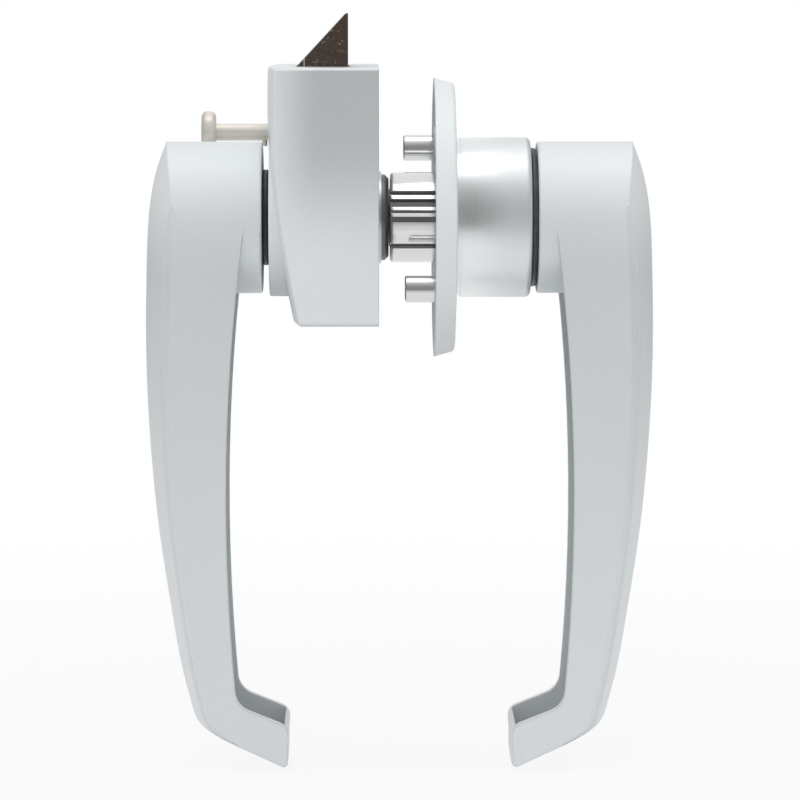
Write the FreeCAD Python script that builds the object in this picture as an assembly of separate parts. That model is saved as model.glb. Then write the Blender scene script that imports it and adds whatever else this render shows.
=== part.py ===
import FreeCAD, Part
import math
import os

# Lever handle door lock with a sprung wedge bolt, for a thin door.
# Millimetres. The origin is the spindle axis on the latch case's back face, which
# lies on the inside of the door. +X runs from the inside lever through the door to
# the outside lever, +Y points away from the side that faces the viewer, +Z is up.
# Both levers hang down at rest and the bolt points up.

V = FreeCAD.Vector

# Fits
SLIDE_GAP = 0.30
RUN_GAP = 0.05
SEAT_GAP = 0.03
FACE_GAP = 0.10
OVERCUT = 1.0
KEEP = 0.5
PICK = 0.01

# Door
DOOR_THICKNESS = 12.45

# Latch case: a hollow casting, open at the back, with a curved front
CASE_HALF_WIDTH = 24.0
CASE_TOP = 34.1
CASE_BOTTOM = -22.9
CASE_DEPTH = 23.3
CASE_CROWN_RISE = 1.7
CASE_TOP_CORNER_R = 0.7
CASE_FOOT_CORNER_R = 1.0
CASE_INNER_CORNER_R = 0.6
CASE_WALL = 2.3
CASE_EDGE_R = 0.65
COLLAR_R = 17.8
COLLAR_STAND = 1.25
COLLAR_EDGE_R = 0.5
BEARING_BOSS_R = 12.5
BEARING_BOSS_GAP = 0.4

# Side line of the case's front: share of its depth, and of its height from the bottom
CASE_FRONT_LINE = [
    (0.7225, -0.06), (0.818, 0.132), (0.899, 0.319), (0.96, 0.5), (0.989, 0.68), (1.0, 0.86),
    (0.984, 1.06),
]

# Back plate, let into the back of the case
PLATE_THICKNESS = 1.6
PLATE_RIM = 1.2
PLATE_EDGE_GAP = 0.1
PLATE_CORNER_R = 1.6
PLATE_LIP_HEIGHT = 0.6
PLATE_LIP_WALL = 0.65
PLATE_SCREW_R = 1.25
PLATE_SCREW_HEAD_R = 2.3
PLATE_SCREW_LENGTH = 7.0
PLATE_SCREW_INSET = 4.1
PLATE_SCREW_SLOT_DEPTH = 0.7
PLATE_SCREW_SLOT_WIDTH = 0.6
PLATE_POST_R = 2.7

# Fixing holes through the case, for the screws that reach the outside studs
FIXING_PCD = 46.2
FIXING_ANGLE = 130.4
FIXING_HOLE_R = 2.2
FIXING_PILLAR_R = 4.0
SPOTFACE_R = 4.3
SPOTFACE_DEPTH = 1.1

# Lever spindle and follower
SPINDLE_SIDE = 7.0
SPINDLE_IN_LEVER = 14.0
HUB_R = 7.6
HUB_COLLAR_R = 9.7
HUB_COLLAR_END_X = 2.25
HUB_COLLAR_CHAMFER = 0.9
HUB_FLANGE_R = 11.2
HUB_FLANGE_THICKNESS = 1.6
LEVER_SWING = 50.0
BOLT_TRAVEL = 12.2
ARM_THICKNESS = 3.0
ARM_ROOT_HALF = 2.6
ARM_TIP_HALF = 1.25
ARM_TIP_LENGTH = 3.5
ARM_ROOT_MARGIN = 0.5
ARM_NOSE_R = 1.8
FRONT_BUSH_WALL = 1.6
FRONT_BUSH_LENGTH = 5.0
FRONT_BUSH_INSET = 0.1

# Bolt: the head stands out of the case's top, and its front keeps a gap to the case wall
BOLT_FRONT_INSET = 5.05
BOLT_BACK_X = -6.85
BOLT_HALF_WIDTH = 7.0
BOLT_PROJECTION = 11.8
BOLT_BEVEL_FOOT_HEIGHT = 0.2
BOLT_TIP_FLAT = 0.65
BOLT_EDGE_R = 0.4
BOLT_HEAD_LENGTH = 19.7
BOLT_BRIDGE_DROP = 0.6
BOLT_BRIDGE_RISE = 1.8
LEG_THICKNESS = 3.0
LEG_WIDTH = 2.3
HUB_WINDOW_GAP = 0.7
FAR_LEG_END_Z = -3.0
FOOT_THICKNESS = 3.2
FOOT_NOSE_GAP = 0.2
FOOT_INNER_SET_BACK = 2.4
SEAT_PAD_THICKNESS = 1.6

# Bolt spring: the first and last turns lie nearly closed
SPRING_COIL_R = 2.2
SPRING_WIRE_R = 0.3
SPRING_TURNS = 8
SPRING_SIDE_GAP = 0.5
SPRING_SEAT_MARGIN = 0.4
SPRING_POST_R = 1.5
SPRING_POST_HEIGHT = 5.0

# Locking pin beside the inside lever
PIN_Y = 14.0
PIN_DROP = 15.4
PIN_R = 1.95
PIN_HEAD_R = 4.8
PIN_REACH = 15.6
PIN_HEAD_THICKNESS = 3.25
PIN_HEAD_ROUND = 1.3
PIN_TRAVEL = 8.0
PIN_STOP_R = 0.58
PIN_STOP_AHEAD = 1.2
PIN_STOP_REACH = 3.15
PIN_STOP_SEAT = 0.1
PIN_KEYWAY_GAP = 0.2
PIN_BUSH_R = 4.6
PIN_BUSH_STAND = 1.45
PIN_BUSH_LENGTH = 5.6
PIN_BOSS_WALL = 1.3
PIN_CLIP_R = 3.3
PIN_CLIP_THICKNESS = 0.5
PIN_CLIP_END_GAP = 0.05
PIN_CLIP_MOUTH = 2.4
PIN_GROOVE_DEPTH = 0.5
PIN_RING_WIRE_R = 0.5
PIN_RING_ROOM = 0.1
PIN_WING_MARGIN = 1.3
PIN_WING_GAP = 0.6

# Levers: u is the distance from the boss face outwards, mirrored on the inside lever
LEVER_REACH = 119.0
LEVER_BOSS_R = 17.1
LEVER_BOSS_EDGE_R = 0.5
LEVER_TIP_HALF = 13.4
LEVER_CROWN_R = 29.0
LEVER_WALL = 2.3
LEVER_FACE_WALL = 2.25
LEVER_TIP_WALL = 1.1
LEVER_BLADE_U = 3.9
LEVER_EDGE_TOP_Z = -1.6
LEVER_EDGE_BELLY_U = 8.1
LEVER_EDGE_FOOT_U = 6.0
LEVER_HEEL_RISE = 9.4
LEVER_HEEL_R = 5.0
LEVER_TIP_U = -5.85
LEVER_HOOK_DROP = 4.75
LEVER_TIP_CORNER_R = 3.0
LEVER_TOE_SLANT = 0.35
LEVER_TOE_R = 0.9
LEVER_STRIP_WIDTH = 1.9
LEVER_STRIP_STEP = 0.6
LEVER_STRIP_TOP_Z = 3.5
LEVER_STRIP_FULL_Z = -11.0

# Middle line of the levers' outer face: u, then the height as a share of the boss
# radius above the axis and of the lever's reach below it
LEVER_FACE_LINE = [
    (19.7, 1.257), (21.62, 1.0), (23.7, 0.667), (24.98, 0.351), (25.75, 0.0), (26.25, -0.09),
    (26.5, -0.21), (26.25, -0.329), (25.28, -0.467), (23.59, -0.606), (21.11, -0.745),
    (18.04, -0.885), (16.6, -0.931), (15.25, -0.961), (12.4, -0.982), (7.1, -1.005),
    (1.2, -1.028), (-7.0, -1.06), (-16.0, -1.095),
]
LEVER_GAP = 1.6
LEVER_COLLAR_GAP = 1.5
INNER_WASHER_R = 10.8
OUTER_WASHER_R = 15.9
OUTER_WASHER_TAPER = 0.5
WASHER_ROUND = 0.5

# Set screw in the inside lever and cross pin in the outside lever
SET_SCREW_R = 2.5
SET_SCREW_LENGTH = 8.0
SET_SCREW_HEX = 2.5
SET_SCREW_HEX_DEPTH = 2.5
SET_SCREW_U = 7.5
CROSS_PIN_R = 1.5
CROSS_PIN_U = 8.0
CROSS_PIN_SEAT = 1.0
CROSS_PIN_INSET = 1.0

# Outside half: rose, studs, neck and fluted barrel
ROSE_R = 31.5
ROSE_DRAFT = 1.3
ROSE_RIM_WIDTH = 4.6
ROSE_FACE_RISE = 0.5
ROSE_WALL = 2.0
ROSE_EDGE_R = 1.0
ROSE_HOLLOW_DRAFT = 0.8
ROSE_BOSS_SET_BACK = 0.3
STUD_R = 3.0
STUD_ANGLE = 40.4
STUD_LENGTH = 6.7
STUD_BOSS_R = 4.8
STUD_FACE_WALL = 0.8
STUD_THREAD_R = 1.65
STUD_THREAD_DEPTH = 7.0
STUD_CHAMFER = 0.3
NECK_R = 18.0
NECK_WALL = 2.4
NECK_LENGTH = 16.6
NECK_CAP = 3.0
NECK_EDGE_R = 1.2
NECK_FOOT_STEP = 0.35
NECK_FOOT_HEIGHT = 0.8
BARREL_R = 10.2
BARREL_BORE_R = 8.0
BARREL_HUB_GAP = 0.3
BARREL_CAP_GAP = 0.2
BARREL_ROUND = 0.8
BARREL_MOUTH_DEPTH = 2.2
BARREL_MOUTH_STEP = 0.8
BARREL_BOSS_WALL = 2.4
BARREL_BAND = 1.2
OUTER_SHAFT_R = 6.5
OUTER_SHAFT_IN_LEVER = 3.0
BARREL_BUSH_LENGTH = 6.5
CIRCLIP_THICKNESS = 0.7
CIRCLIP_R = 7.5
CIRCLIP_GROOVE = 0.5
CIRCLIP_MOUTH = 3.0

# Flutes of the barrel: first angle, last angle and depth. Angles run about X from
# the side that faces the viewer, negative upwards, and repeat on the far side.
BARREL_FLUTES = [
    (-37.0, -31.5, 0.9), (-23.6, -13.8, 1.5), (-8.0, -5.2, 0.8), (0.0, 6.0, 1.5), (38.5, 44.6, 1.1),
]
BARREL_FACET_ANGLE = 22.0
BARREL_FACET_DEPTH = 0.45
BARREL_FACET_HALF = 9.0

# Sizes that follow from the ones above
CASE_BACK_X = 0.0
PLATE_FRONT_X = CASE_BACK_X - PLATE_THICKNESS
HUB_FLANGE_BACK_X = PLATE_FRONT_X - FACE_GAP
HUB_FLANGE_FRONT_X = HUB_FLANGE_BACK_X - HUB_FLANGE_THICKNESS
ARM_BACK_X = HUB_FLANGE_FRONT_X
ARM_FRONT_X = ARM_BACK_X - ARM_THICKNESS
ARM_R = BOLT_TRAVEL / (2 * math.sin(math.radians(LEVER_SWING / 2)))
NOSE_REST_Z = BOLT_TRAVEL / 2
FOOT_TOP_Z = NOSE_REST_Z - ARM_NOSE_R - FOOT_NOSE_GAP
FOOT_BOTTOM_Z = FOOT_TOP_Z - FOOT_THICKNESS
FOOT_OUTER_Y = -ARM_R - ARM_NOSE_R
FOOT_INNER_Y = -ARM_R + FOOT_INNER_SET_BACK
BOLT_FRONT_X = -CASE_DEPTH + BOLT_FRONT_INSET
BOLT_TIP_Z = CASE_TOP + BOLT_PROJECTION
BOLT_HEAD_BOTTOM_Z = BOLT_TIP_Z - BOLT_HEAD_LENGTH
LEG_FRONT_X = BOLT_BACK_X - LEG_THICKNESS
LEG_INNER_Y = HUB_R + HUB_WINDOW_GAP
LEG_OUTER_Y = LEG_INNER_Y + LEG_WIDTH
CASE_FLOOR_Z = CASE_BOTTOM + CASE_WALL
COLLAR_FRONT_X = -CASE_DEPTH - COLLAR_STAND
SPRING_OUTER_R = SPRING_COIL_R + SPRING_WIRE_R
SPRING_SEAT_HALF = SPRING_OUTER_R + SPRING_SEAT_MARGIN
SPRING_X = ARM_FRONT_X - SLIDE_GAP - SPRING_SEAT_HALF
SPRING_Y = -(CASE_HALF_WIDTH - PLATE_SCREW_INSET - PLATE_POST_R - SPRING_SIDE_GAP - SPRING_OUTER_R)
PIN_Z = CASE_TOP - PIN_DROP
PIN_BUSH_FRONT_X = -CASE_DEPTH - PIN_BUSH_STAND
PIN_BUSH_END_X = PIN_BUSH_FRONT_X + PIN_BUSH_LENGTH
PIN_RING_X = (PIN_BUSH_FRONT_X + PIN_BUSH_END_X) / 2
PIN_HEAD_FRONT_X = PIN_BUSH_FRONT_X - PIN_REACH
PIN_STOP_X = PIN_BUSH_FRONT_X - PIN_STOP_AHEAD
PIN_NOSE_X = LEG_FRONT_X - SLIDE_GAP - PIN_TRAVEL
PLATE_HOLE_R = HUB_COLLAR_R + RUN_GAP
FRONT_BUSH_BORE_R = HUB_R + RUN_GAP
FRONT_BUSH_R = FRONT_BUSH_BORE_R + FRONT_BUSH_WALL
ROSE_BACK_X = DOOR_THICKNESS
ROSE_RIM_X = ROSE_BACK_X + ROSE_RIM_WIDTH
ROSE_FACE_X = ROSE_RIM_X + ROSE_FACE_RISE
ROSE_FLOOR_X = ROSE_FACE_X - ROSE_WALL
STUD_END_X = ROSE_BACK_X - STUD_LENGTH
NECK_END_X = ROSE_FACE_X + NECK_LENGTH
BARREL_START_X = HUB_COLLAR_END_X + BARREL_HUB_GAP
BARREL_END_X = NECK_END_X - BARREL_CAP_GAP
CIRCLIP_X = BARREL_START_X + BARREL_MOUTH_DEPTH - FACE_GAP - CIRCLIP_THICKNESS
BUSH_STARTS = [BARREL_START_X + BARREL_MOUTH_DEPTH, BARREL_END_X - BARREL_BUSH_LENGTH]
BEYOND_X = 60.0
INNER_LEVER_FACE_X = COLLAR_FRONT_X - LEVER_GAP
OUTER_LEVER_FACE_X = NECK_END_X + LEVER_COLLAR_GAP
LEVER_HEEL_Z = -LEVER_REACH + LEVER_HEEL_RISE
LEVER_TIP_TOP_Z = LEVER_HEEL_Z - LEVER_HOOK_DROP
BUSH_BORE_R = OUTER_SHAFT_R + RUN_GAP
SQUARE_HOLE = SPINDLE_SIDE + 2 * SEAT_GAP


def cylinder(x0, x1, radius, y=0.0, z=0.0):
    """Round bar along X."""
    return Part.makeCylinder(radius, x1 - x0, V(x0, y, z), V(1, 0, 0))


def block(x0, x1, y0, y1, z0, z1):
    """Rectangular block between two corners."""
    return Part.makeBox(x1 - x0, y1 - y0, z1 - z0, V(x0, y0, z0))


def square_bar(x0, x1, side):
    """Square bar on the spindle axis."""
    return block(x0, x1, -side / 2, side / 2, -side / 2, side / 2)


def turned(points, y=0.0, z=0.0):
    """Solid turned about an axis along X, from (x, radius) points."""
    corners = [V(x, 0, r) for x, r in points]
    outline = Part.makePolygon(corners + corners[:1])
    solid = Part.Face(outline).revolve(V(0, 0, 0), V(1, 0, 0), 360)
    solid.translate(V(0, y, z))
    return solid


def sector(x0, x1, r0, r1, first, last):
    """Part of a ring about X. Angles run from the viewer's side, negative upwards."""
    corners = [V(x0, r0, 0), V(x1, r0, 0), V(x1, r1, 0), V(x0, r1, 0)]
    face = Part.Face(Part.makePolygon(corners + corners[:1]))
    face.rotate(V(0, 0, 0), V(1, 0, 0), 180 + first)
    return face.revolve(V(0, 0, 0), V(1, 0, 0), last - first)


def prism_along_x(wire, x0, x1):
    """Extrude a closed wire that lies in the YZ plane."""
    face = Part.Face(wire)
    face.translate(V(x0, 0, 0))
    return face.extrude(V(x1 - x0, 0, 0))


def prism_along_y(wire, half_width):
    """Extrude a closed wire that lies in the XZ plane to both sides."""
    face = Part.Face(wire)
    face.translate(V(0, -half_width, 0))
    return face.extrude(V(0, 2 * half_width, 0))


def rounded_rectangle(y0, y1, z0, z1, foot_r, top_r):
    """Closed wire in the YZ plane with two round lower corners and two round upper ones."""
    inside = 1 - math.sqrt(0.5)
    f, t = foot_r, top_r
    fk, tk = foot_r * inside, top_r * inside
    corners = [
        (V(0, y1 - f, z0), V(0, y1 - fk, z0 + fk), V(0, y1, z0 + f)),
        (V(0, y1, z1 - t), V(0, y1 - tk, z1 - tk), V(0, y1 - t, z1)),
        (V(0, y0 + t, z1), V(0, y0 + tk, z1 - tk), V(0, y0, z1 - t)),
        (V(0, y0, z0 + f), V(0, y0 + fk, z0 + fk), V(0, y0 + f, z0)),
    ]
    edges = []
    for index, (start, middle, end) in enumerate(corners):
        edges.append(Part.Arc(start, middle, end).toShape())
        edges.append(Part.makeLine(end, corners[(index + 1) % 4][0]))
    return Part.Wire(edges)


def crown_drop(radius, y):
    """How far a crowned face falls back at a distance y from its middle."""
    return radius - math.sqrt(radius * radius - y * y)


def crowned_solid(points, crown_r, half_width, outward, depth):
    """Solid under a crowned face: the curve through (x, z) points, moved along an arc.

    outward is +1 or -1, the side of X that the face looks to, and the solid reaches
    the given depth behind the face.
    """
    spine = Part.BSplineCurve()
    spine.interpolate([V(x, 0, z) for x, z in points])
    drop = crown_drop(crown_r, half_width)
    end = V(-outward * drop, half_width, 0)
    arc = Part.Arc(V(end.x, -half_width, 0), V(0, 0, 0), end).toShape().Curve
    first, last = arc.parameter(V(end.x, -half_width, 0)), arc.parameter(end)
    crown = arc.toBSpline(min(first, last), max(first, last))
    poles = [[a + b for b in crown.getPoles()] for a in spine.getPoles()]
    weights = [list(crown.getWeights()) for _ in spine.getPoles()]
    surface = Part.BSplineSurface()
    surface.buildFromPolesMultsKnots(
        poles, spine.getMultiplicities(), crown.getMultiplicities(),
        spine.getKnots(), crown.getKnots(), False, False, spine.Degree, crown.Degree, weights)
    return surface.toShape().extrude(V(-outward * depth, 0, 0))


def polar(radius, angle):
    """Point (y, z) on a circle about the spindle, angle from +Y towards +Z."""
    turn = math.radians(angle)
    return radius * math.cos(turn), radius * math.sin(turn)


def fixing_points(angle):
    """The two opposite points of the fixing circle."""
    return [polar(FIXING_PCD / 2, angle), polar(FIXING_PCD / 2, angle + 180)]


def plate_screw_points():
    """Corners of the case where the back plate is screwed down."""
    y = CASE_HALF_WIDTH - PLATE_SCREW_INSET
    return [
        (side * y, z)
        for side in (-1, 1)
        for z in (CASE_BOTTOM + PLATE_SCREW_INSET, CASE_TOP - PLATE_SCREW_INSET)
    ]


def case_body(inset, back_x):
    """The case's outer form, or the same form drawn in by a wall."""
    width = CASE_HALF_WIDTH
    height = CASE_TOP - CASE_BOTTOM
    crown_r = (width ** 2 + CASE_CROWN_RISE ** 2) / (2 * CASE_CROWN_RISE)
    points = [
        (-CASE_DEPTH * depth - CASE_CROWN_RISE + inset, CASE_BOTTOM + height * rise)
        for depth, rise in CASE_FRONT_LINE
    ]
    form = crowned_solid(points, crown_r, width + OVERCUT, -1, BEYOND_X)
    outline = rounded_rectangle(
        -width + inset, width - inset, CASE_BOTTOM + inset, CASE_TOP - inset,
        max(CASE_FOOT_CORNER_R - inset, CASE_INNER_CORNER_R),
        max(CASE_TOP_CORNER_R - inset, CASE_INNER_CORNER_R))
    return form.common(prism_along_x(outline, -BEYOND_X, back_x))


def case_shell():
    """Outer form with its front edges rounded."""
    form = case_body(0.0, CASE_BACK_X)
    edges = [e for e in form.Edges if e.BoundBox.XMax < CASE_BACK_X - CASE_DEPTH / 2]
    return form.makeFillet(CASE_EDGE_R, edges)


def case_pillars():
    """Posts inside the case: fixing screws, plate screws and pin boss."""
    posts = [cylinder(-BEYOND_X, PLATE_FRONT_X, FIXING_PILLAR_R, y, z)
             for y, z in fixing_points(FIXING_ANGLE)]
    posts += [cylinder(-BEYOND_X, PLATE_FRONT_X, PLATE_POST_R, y, z) for y, z in plate_screw_points()]
    posts.append(cylinder(-BEYOND_X, PIN_BUSH_END_X, PIN_BUSH_R + PIN_BOSS_WALL, PIN_Y, PIN_Z))
    posts.append(cylinder(-BEYOND_X, BOLT_FRONT_X - BEARING_BOSS_GAP, BEARING_BOSS_R))
    return posts


def case_collar():
    """Round collar on the case's front, under the inside lever."""
    collar = cylinder(COLLAR_FRONT_X, CASE_BACK_X, COLLAR_R)
    rim = [e for e in collar.Edges if abs(e.BoundBox.XMax - COLLAR_FRONT_X) < PICK]
    return collar.makeFillet(COLLAR_EDGE_R, rim).cut(case_body(CASE_WALL, CASE_BACK_X + OVERCUT))


def make_latch_case():
    shell = case_shell()
    rebate = rounded_rectangle(
        -CASE_HALF_WIDTH + PLATE_RIM, CASE_HALF_WIDTH - PLATE_RIM,
        CASE_BOTTOM + PLATE_RIM, CASE_TOP - PLATE_RIM, PLATE_CORNER_R, PLATE_CORNER_R)
    case = shell.cut(case_body(CASE_WALL, CASE_BACK_X + OVERCUT))
    case = case.fuse([post.common(shell) for post in case_pillars()])
    case = case.fuse(case_collar())
    case = case.cut(prism_along_x(rebate, PLATE_FRONT_X, CASE_BACK_X + OVERCUT))
    case = case.fuse(Part.makeCylinder(
        SPRING_POST_R, SPRING_POST_HEIGHT + KEEP, V(SPRING_X, SPRING_Y, CASE_FLOOR_Z - KEEP)))
    mouth = block(
        BOLT_FRONT_X - SLIDE_GAP, BOLT_BACK_X + SLIDE_GAP, -BOLT_HALF_WIDTH - SLIDE_GAP,
        BOLT_HALF_WIDTH + SLIDE_GAP, CASE_TOP - CASE_WALL - OVERCUT, CASE_TOP + OVERCUT)
    cuts = [mouth, cylinder(-BEYOND_X, CASE_BACK_X, FRONT_BUSH_R + SEAT_GAP)]
    cuts.append(cylinder(-BEYOND_X, PIN_BUSH_END_X + OVERCUT, PIN_BUSH_R + SEAT_GAP, PIN_Y, PIN_Z))
    for y, z in fixing_points(FIXING_ANGLE):
        cuts.append(cylinder(-BEYOND_X, CASE_BACK_X, FIXING_HOLE_R, y, z))
        cuts.append(cylinder(-BEYOND_X, case_front_x(y, z) + SPOTFACE_DEPTH, SPOTFACE_R, y, z))
    screw_end = CASE_BACK_X - PLATE_SCREW_LENGTH - KEEP
    for y, z in plate_screw_points():
        cuts.append(cylinder(screw_end, CASE_BACK_X, PLATE_SCREW_R + SEAT_GAP, y, z))
    return case.cut(cuts).removeSplitter()


def case_front_x(y, z):
    """X of the case's front face at one point, by a thin probe."""
    probe = block(-BEYOND_X, CASE_BACK_X, y - PICK, y + PICK, z - PICK, z + PICK)
    return probe.common(case_body(0.0, CASE_BACK_X)).BoundBox.XMin


def make_back_plate():
    edge = PLATE_RIM + PLATE_EDGE_GAP
    corner = PLATE_CORNER_R - PLATE_EDGE_GAP
    outline = rounded_rectangle(
        -CASE_HALF_WIDTH + edge, CASE_HALF_WIDTH - edge, CASE_BOTTOM + edge, CASE_TOP - edge,
        corner, corner)
    plate = prism_along_x(outline, PLATE_FRONT_X, CASE_BACK_X)
    plate = plate.fuse(cylinder(
        CASE_BACK_X - KEEP, CASE_BACK_X + PLATE_LIP_HEIGHT, PLATE_HOLE_R + PLATE_LIP_WALL))
    beyond = CASE_BACK_X + PLATE_LIP_HEIGHT + OVERCUT
    cuts = [cylinder(PLATE_FRONT_X - OVERCUT, beyond, PLATE_HOLE_R)]
    for y, z in fixing_points(FIXING_ANGLE):
        cuts.append(cylinder(PLATE_FRONT_X - OVERCUT, beyond, FIXING_HOLE_R, y, z))
    for y, z in plate_screw_points():
        cuts.append(countersunk_screw(y, z, SEAT_GAP))
    return plate.cut(cuts)


def countersunk_screw(y, z, gap):
    """Flat-headed screw driven in from the back, grown by a gap for its hole."""
    r, head = PLATE_SCREW_R + gap, PLATE_SCREW_HEAD_R + gap
    back = CASE_BACK_X + (OVERCUT if gap else 0.0)
    cone_foot = CASE_BACK_X - (head - r)
    end = CASE_BACK_X - PLATE_SCREW_LENGTH
    return turned([(end, 0), (end, r), (cone_foot, r), (CASE_BACK_X, head), (back, head), (back, 0)], y, z)


def make_back_plate_screws():
    reach, half = PLATE_SCREW_HEAD_R + OVERCUT, PLATE_SCREW_SLOT_WIDTH / 2
    screws = []
    for y, z in plate_screw_points():
        slot = block(
            CASE_BACK_X - PLATE_SCREW_SLOT_DEPTH, CASE_BACK_X + OVERCUT, y - reach, y + reach,
            z - half, z + half)
        screws.append(countersunk_screw(y, z, 0.0).cut(slot))
    return Part.Compound(screws)


def make_front_bush():
    start = COLLAR_FRONT_X + FRONT_BUSH_INSET
    ring = cylinder(start, start + FRONT_BUSH_LENGTH, FRONT_BUSH_R)
    return ring.cut(cylinder(start - OVERCUT, CASE_BACK_X, FRONT_BUSH_BORE_R))


def make_follower():
    """Turned hub with one bent arm that pulls the bolt down."""
    chamfer = HUB_COLLAR_CHAMFER
    front = COLLAR_FRONT_X + FACE_GAP
    hub = turned([
        (front, 0), (front, HUB_R), (HUB_FLANGE_FRONT_X, HUB_R),
        (HUB_FLANGE_FRONT_X, HUB_FLANGE_R), (HUB_FLANGE_BACK_X, HUB_FLANGE_R),
        (HUB_FLANGE_BACK_X, HUB_COLLAR_R), (HUB_COLLAR_END_X - chamfer, HUB_COLLAR_R),
        (HUB_COLLAR_END_X, HUB_COLLAR_R - chamfer), (HUB_COLLAR_END_X, 0)])
    root, neck = HUB_R + ARM_ROOT_MARGIN, ARM_R - ARM_TIP_LENGTH
    outline = Part.makePolygon([
        V(0, 0, -ARM_ROOT_HALF), V(0, root, -ARM_ROOT_HALF), V(0, neck, -ARM_TIP_HALF),
        V(0, ARM_R, -ARM_TIP_HALF), V(0, ARM_R, ARM_TIP_HALF), V(0, neck, ARM_TIP_HALF),
        V(0, root, ARM_ROOT_HALF), V(0, 0, ARM_ROOT_HALF), V(0, 0, -ARM_ROOT_HALF)])
    arm = prism_along_x(outline, ARM_FRONT_X, ARM_BACK_X)
    arm = arm.fuse(cylinder(ARM_FRONT_X, ARM_BACK_X, ARM_NOSE_R, ARM_R, 0))
    arm.rotate(V(0, 0, 0), V(1, 0, 0), 180 - LEVER_SWING / 2)
    bore = square_bar(front - OVERCUT, HUB_COLLAR_END_X + OVERCUT, SQUARE_HOLE)
    return hub.fuse(arm).cut(bore).removeSplitter()


def bolt_head():
    """Wedge with its edges broken by a small radius."""
    bevel = Part.makePolygon([
        V(BOLT_FRONT_X, 0, BOLT_HEAD_BOTTOM_Z), V(BOLT_BACK_X, 0, BOLT_HEAD_BOTTOM_Z),
        V(BOLT_BACK_X, 0, BOLT_TIP_Z), V(BOLT_BACK_X - BOLT_TIP_FLAT, 0, BOLT_TIP_Z),
        V(BOLT_FRONT_X, 0, CASE_TOP + BOLT_BEVEL_FOOT_HEIGHT), V(BOLT_FRONT_X, 0, BOLT_HEAD_BOTTOM_Z)])
    head = prism_along_y(bevel, BOLT_HALF_WIDTH)
    edges = [e for e in head.Edges if e.BoundBox.ZMax > CASE_TOP and e.BoundBox.YLength < PICK]
    return head.makeFillet(BOLT_EDGE_R, edges)


def make_bolt():
    """Wedge head on two legs that pass the hub, with a foot under the follower's nose."""
    hole_r = PIN_R + PIN_WING_GAP
    wing_margin = hole_r + PIN_WING_MARGIN
    bridge_low = BOLT_HEAD_BOTTOM_Z - BOLT_BRIDGE_DROP
    bridge_high = BOLT_HEAD_BOTTOM_Z + BOLT_BRIDGE_RISE
    front, back = LEG_FRONT_X, BOLT_BACK_X
    near_leg = block(front, back, -LEG_OUTER_Y, -LEG_INNER_Y, FOOT_BOTTOM_Z, BOLT_HEAD_BOTTOM_Z)
    far_leg = block(front, back, LEG_INNER_Y, LEG_OUTER_Y, FAR_LEG_END_Z, BOLT_HEAD_BOTTOM_Z)
    bridge = block(front, back, -LEG_OUTER_Y, LEG_OUTER_Y, bridge_low, bridge_high)
    wing = block(front, back, LEG_INNER_Y, PIN_Y + wing_margin, PIN_Z - wing_margin, bridge_high)
    bar = block(front, back, FOOT_OUTER_Y, -LEG_INNER_Y, FOOT_BOTTOM_Z, FOOT_TOP_Z)
    foot_back = HUB_FLANGE_FRONT_X - SLIDE_GAP
    foot = block(front, foot_back, FOOT_OUTER_Y, FOOT_INNER_Y, FOOT_BOTTOM_Z, FOOT_TOP_Z)
    half = SPRING_SEAT_HALF
    pad = block(SPRING_X - half, SPRING_X + half, SPRING_Y - half, SPRING_Y + half,
                FOOT_BOTTOM_Z, FOOT_BOTTOM_Z + SEAT_PAD_THICKNESS)
    bolt = bolt_head().fuse([near_leg, far_leg, bridge, wing, bar, foot, pad])
    hole = cylinder(front - OVERCUT, back + OVERCUT, hole_r, PIN_Y, PIN_Z)
    return bolt.cut(hole).removeSplitter()


def make_bolt_spring():
    height = FOOT_BOTTOM_Z - CASE_FLOOR_Z - 2 * SPRING_WIRE_R - 2 * FACE_GAP
    helix = Part.makeHelix(height / SPRING_TURNS, height, SPRING_COIL_R)
    circle = Part.Circle(V(SPRING_COIL_R, 0, 0), V(0, 1, 0), SPRING_WIRE_R)
    spring = Part.Wire(helix).makePipeShell([Part.Wire(circle.toShape())], True, True)
    spring.translate(V(SPRING_X, SPRING_Y, CASE_FLOOR_Z + SPRING_WIRE_R + FACE_GAP))
    return spring


def pin_groove_x():
    """Front of the groove that takes the locking pin's clip."""
    return PIN_BUSH_END_X + PIN_CLIP_END_GAP


def make_lock_pin():
    front = PIN_HEAD_FRONT_X
    back = front + PIN_HEAD_THICKNESS
    head = cylinder(front, back, PIN_HEAD_R, PIN_Y, PIN_Z)
    rims = [e for e in head.Edges if e.BoundBox.XLength < PICK]
    head = head.makeFillet(PIN_HEAD_ROUND, rims)
    pin = head.fuse(cylinder(back - KEEP, PIN_NOSE_X, PIN_R, PIN_Y, PIN_Z))
    x0 = pin_groove_x()
    x1 = x0 + PIN_CLIP_THICKNESS
    groove = cylinder(x0, x1, PIN_R + OVERCUT, PIN_Y, PIN_Z)
    groove = groove.cut(cylinder(x0, x1, PIN_R - PIN_GROOVE_DEPTH, PIN_Y, PIN_Z))
    hole = Part.makeCylinder(
        PIN_STOP_R + SEAT_GAP, PIN_R + OVERCUT, V(PIN_STOP_X, PIN_Y, PIN_Z), V(0, 0, -1))
    return pin.cut([groove, hole])


def make_pin_stop():
    """Small cross pin under the locking pin."""
    return Part.makeCylinder(
        PIN_STOP_R, PIN_STOP_REACH - PIN_STOP_SEAT, V(PIN_STOP_X, PIN_Y, PIN_Z - PIN_STOP_SEAT),
        V(0, 0, -1))


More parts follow.
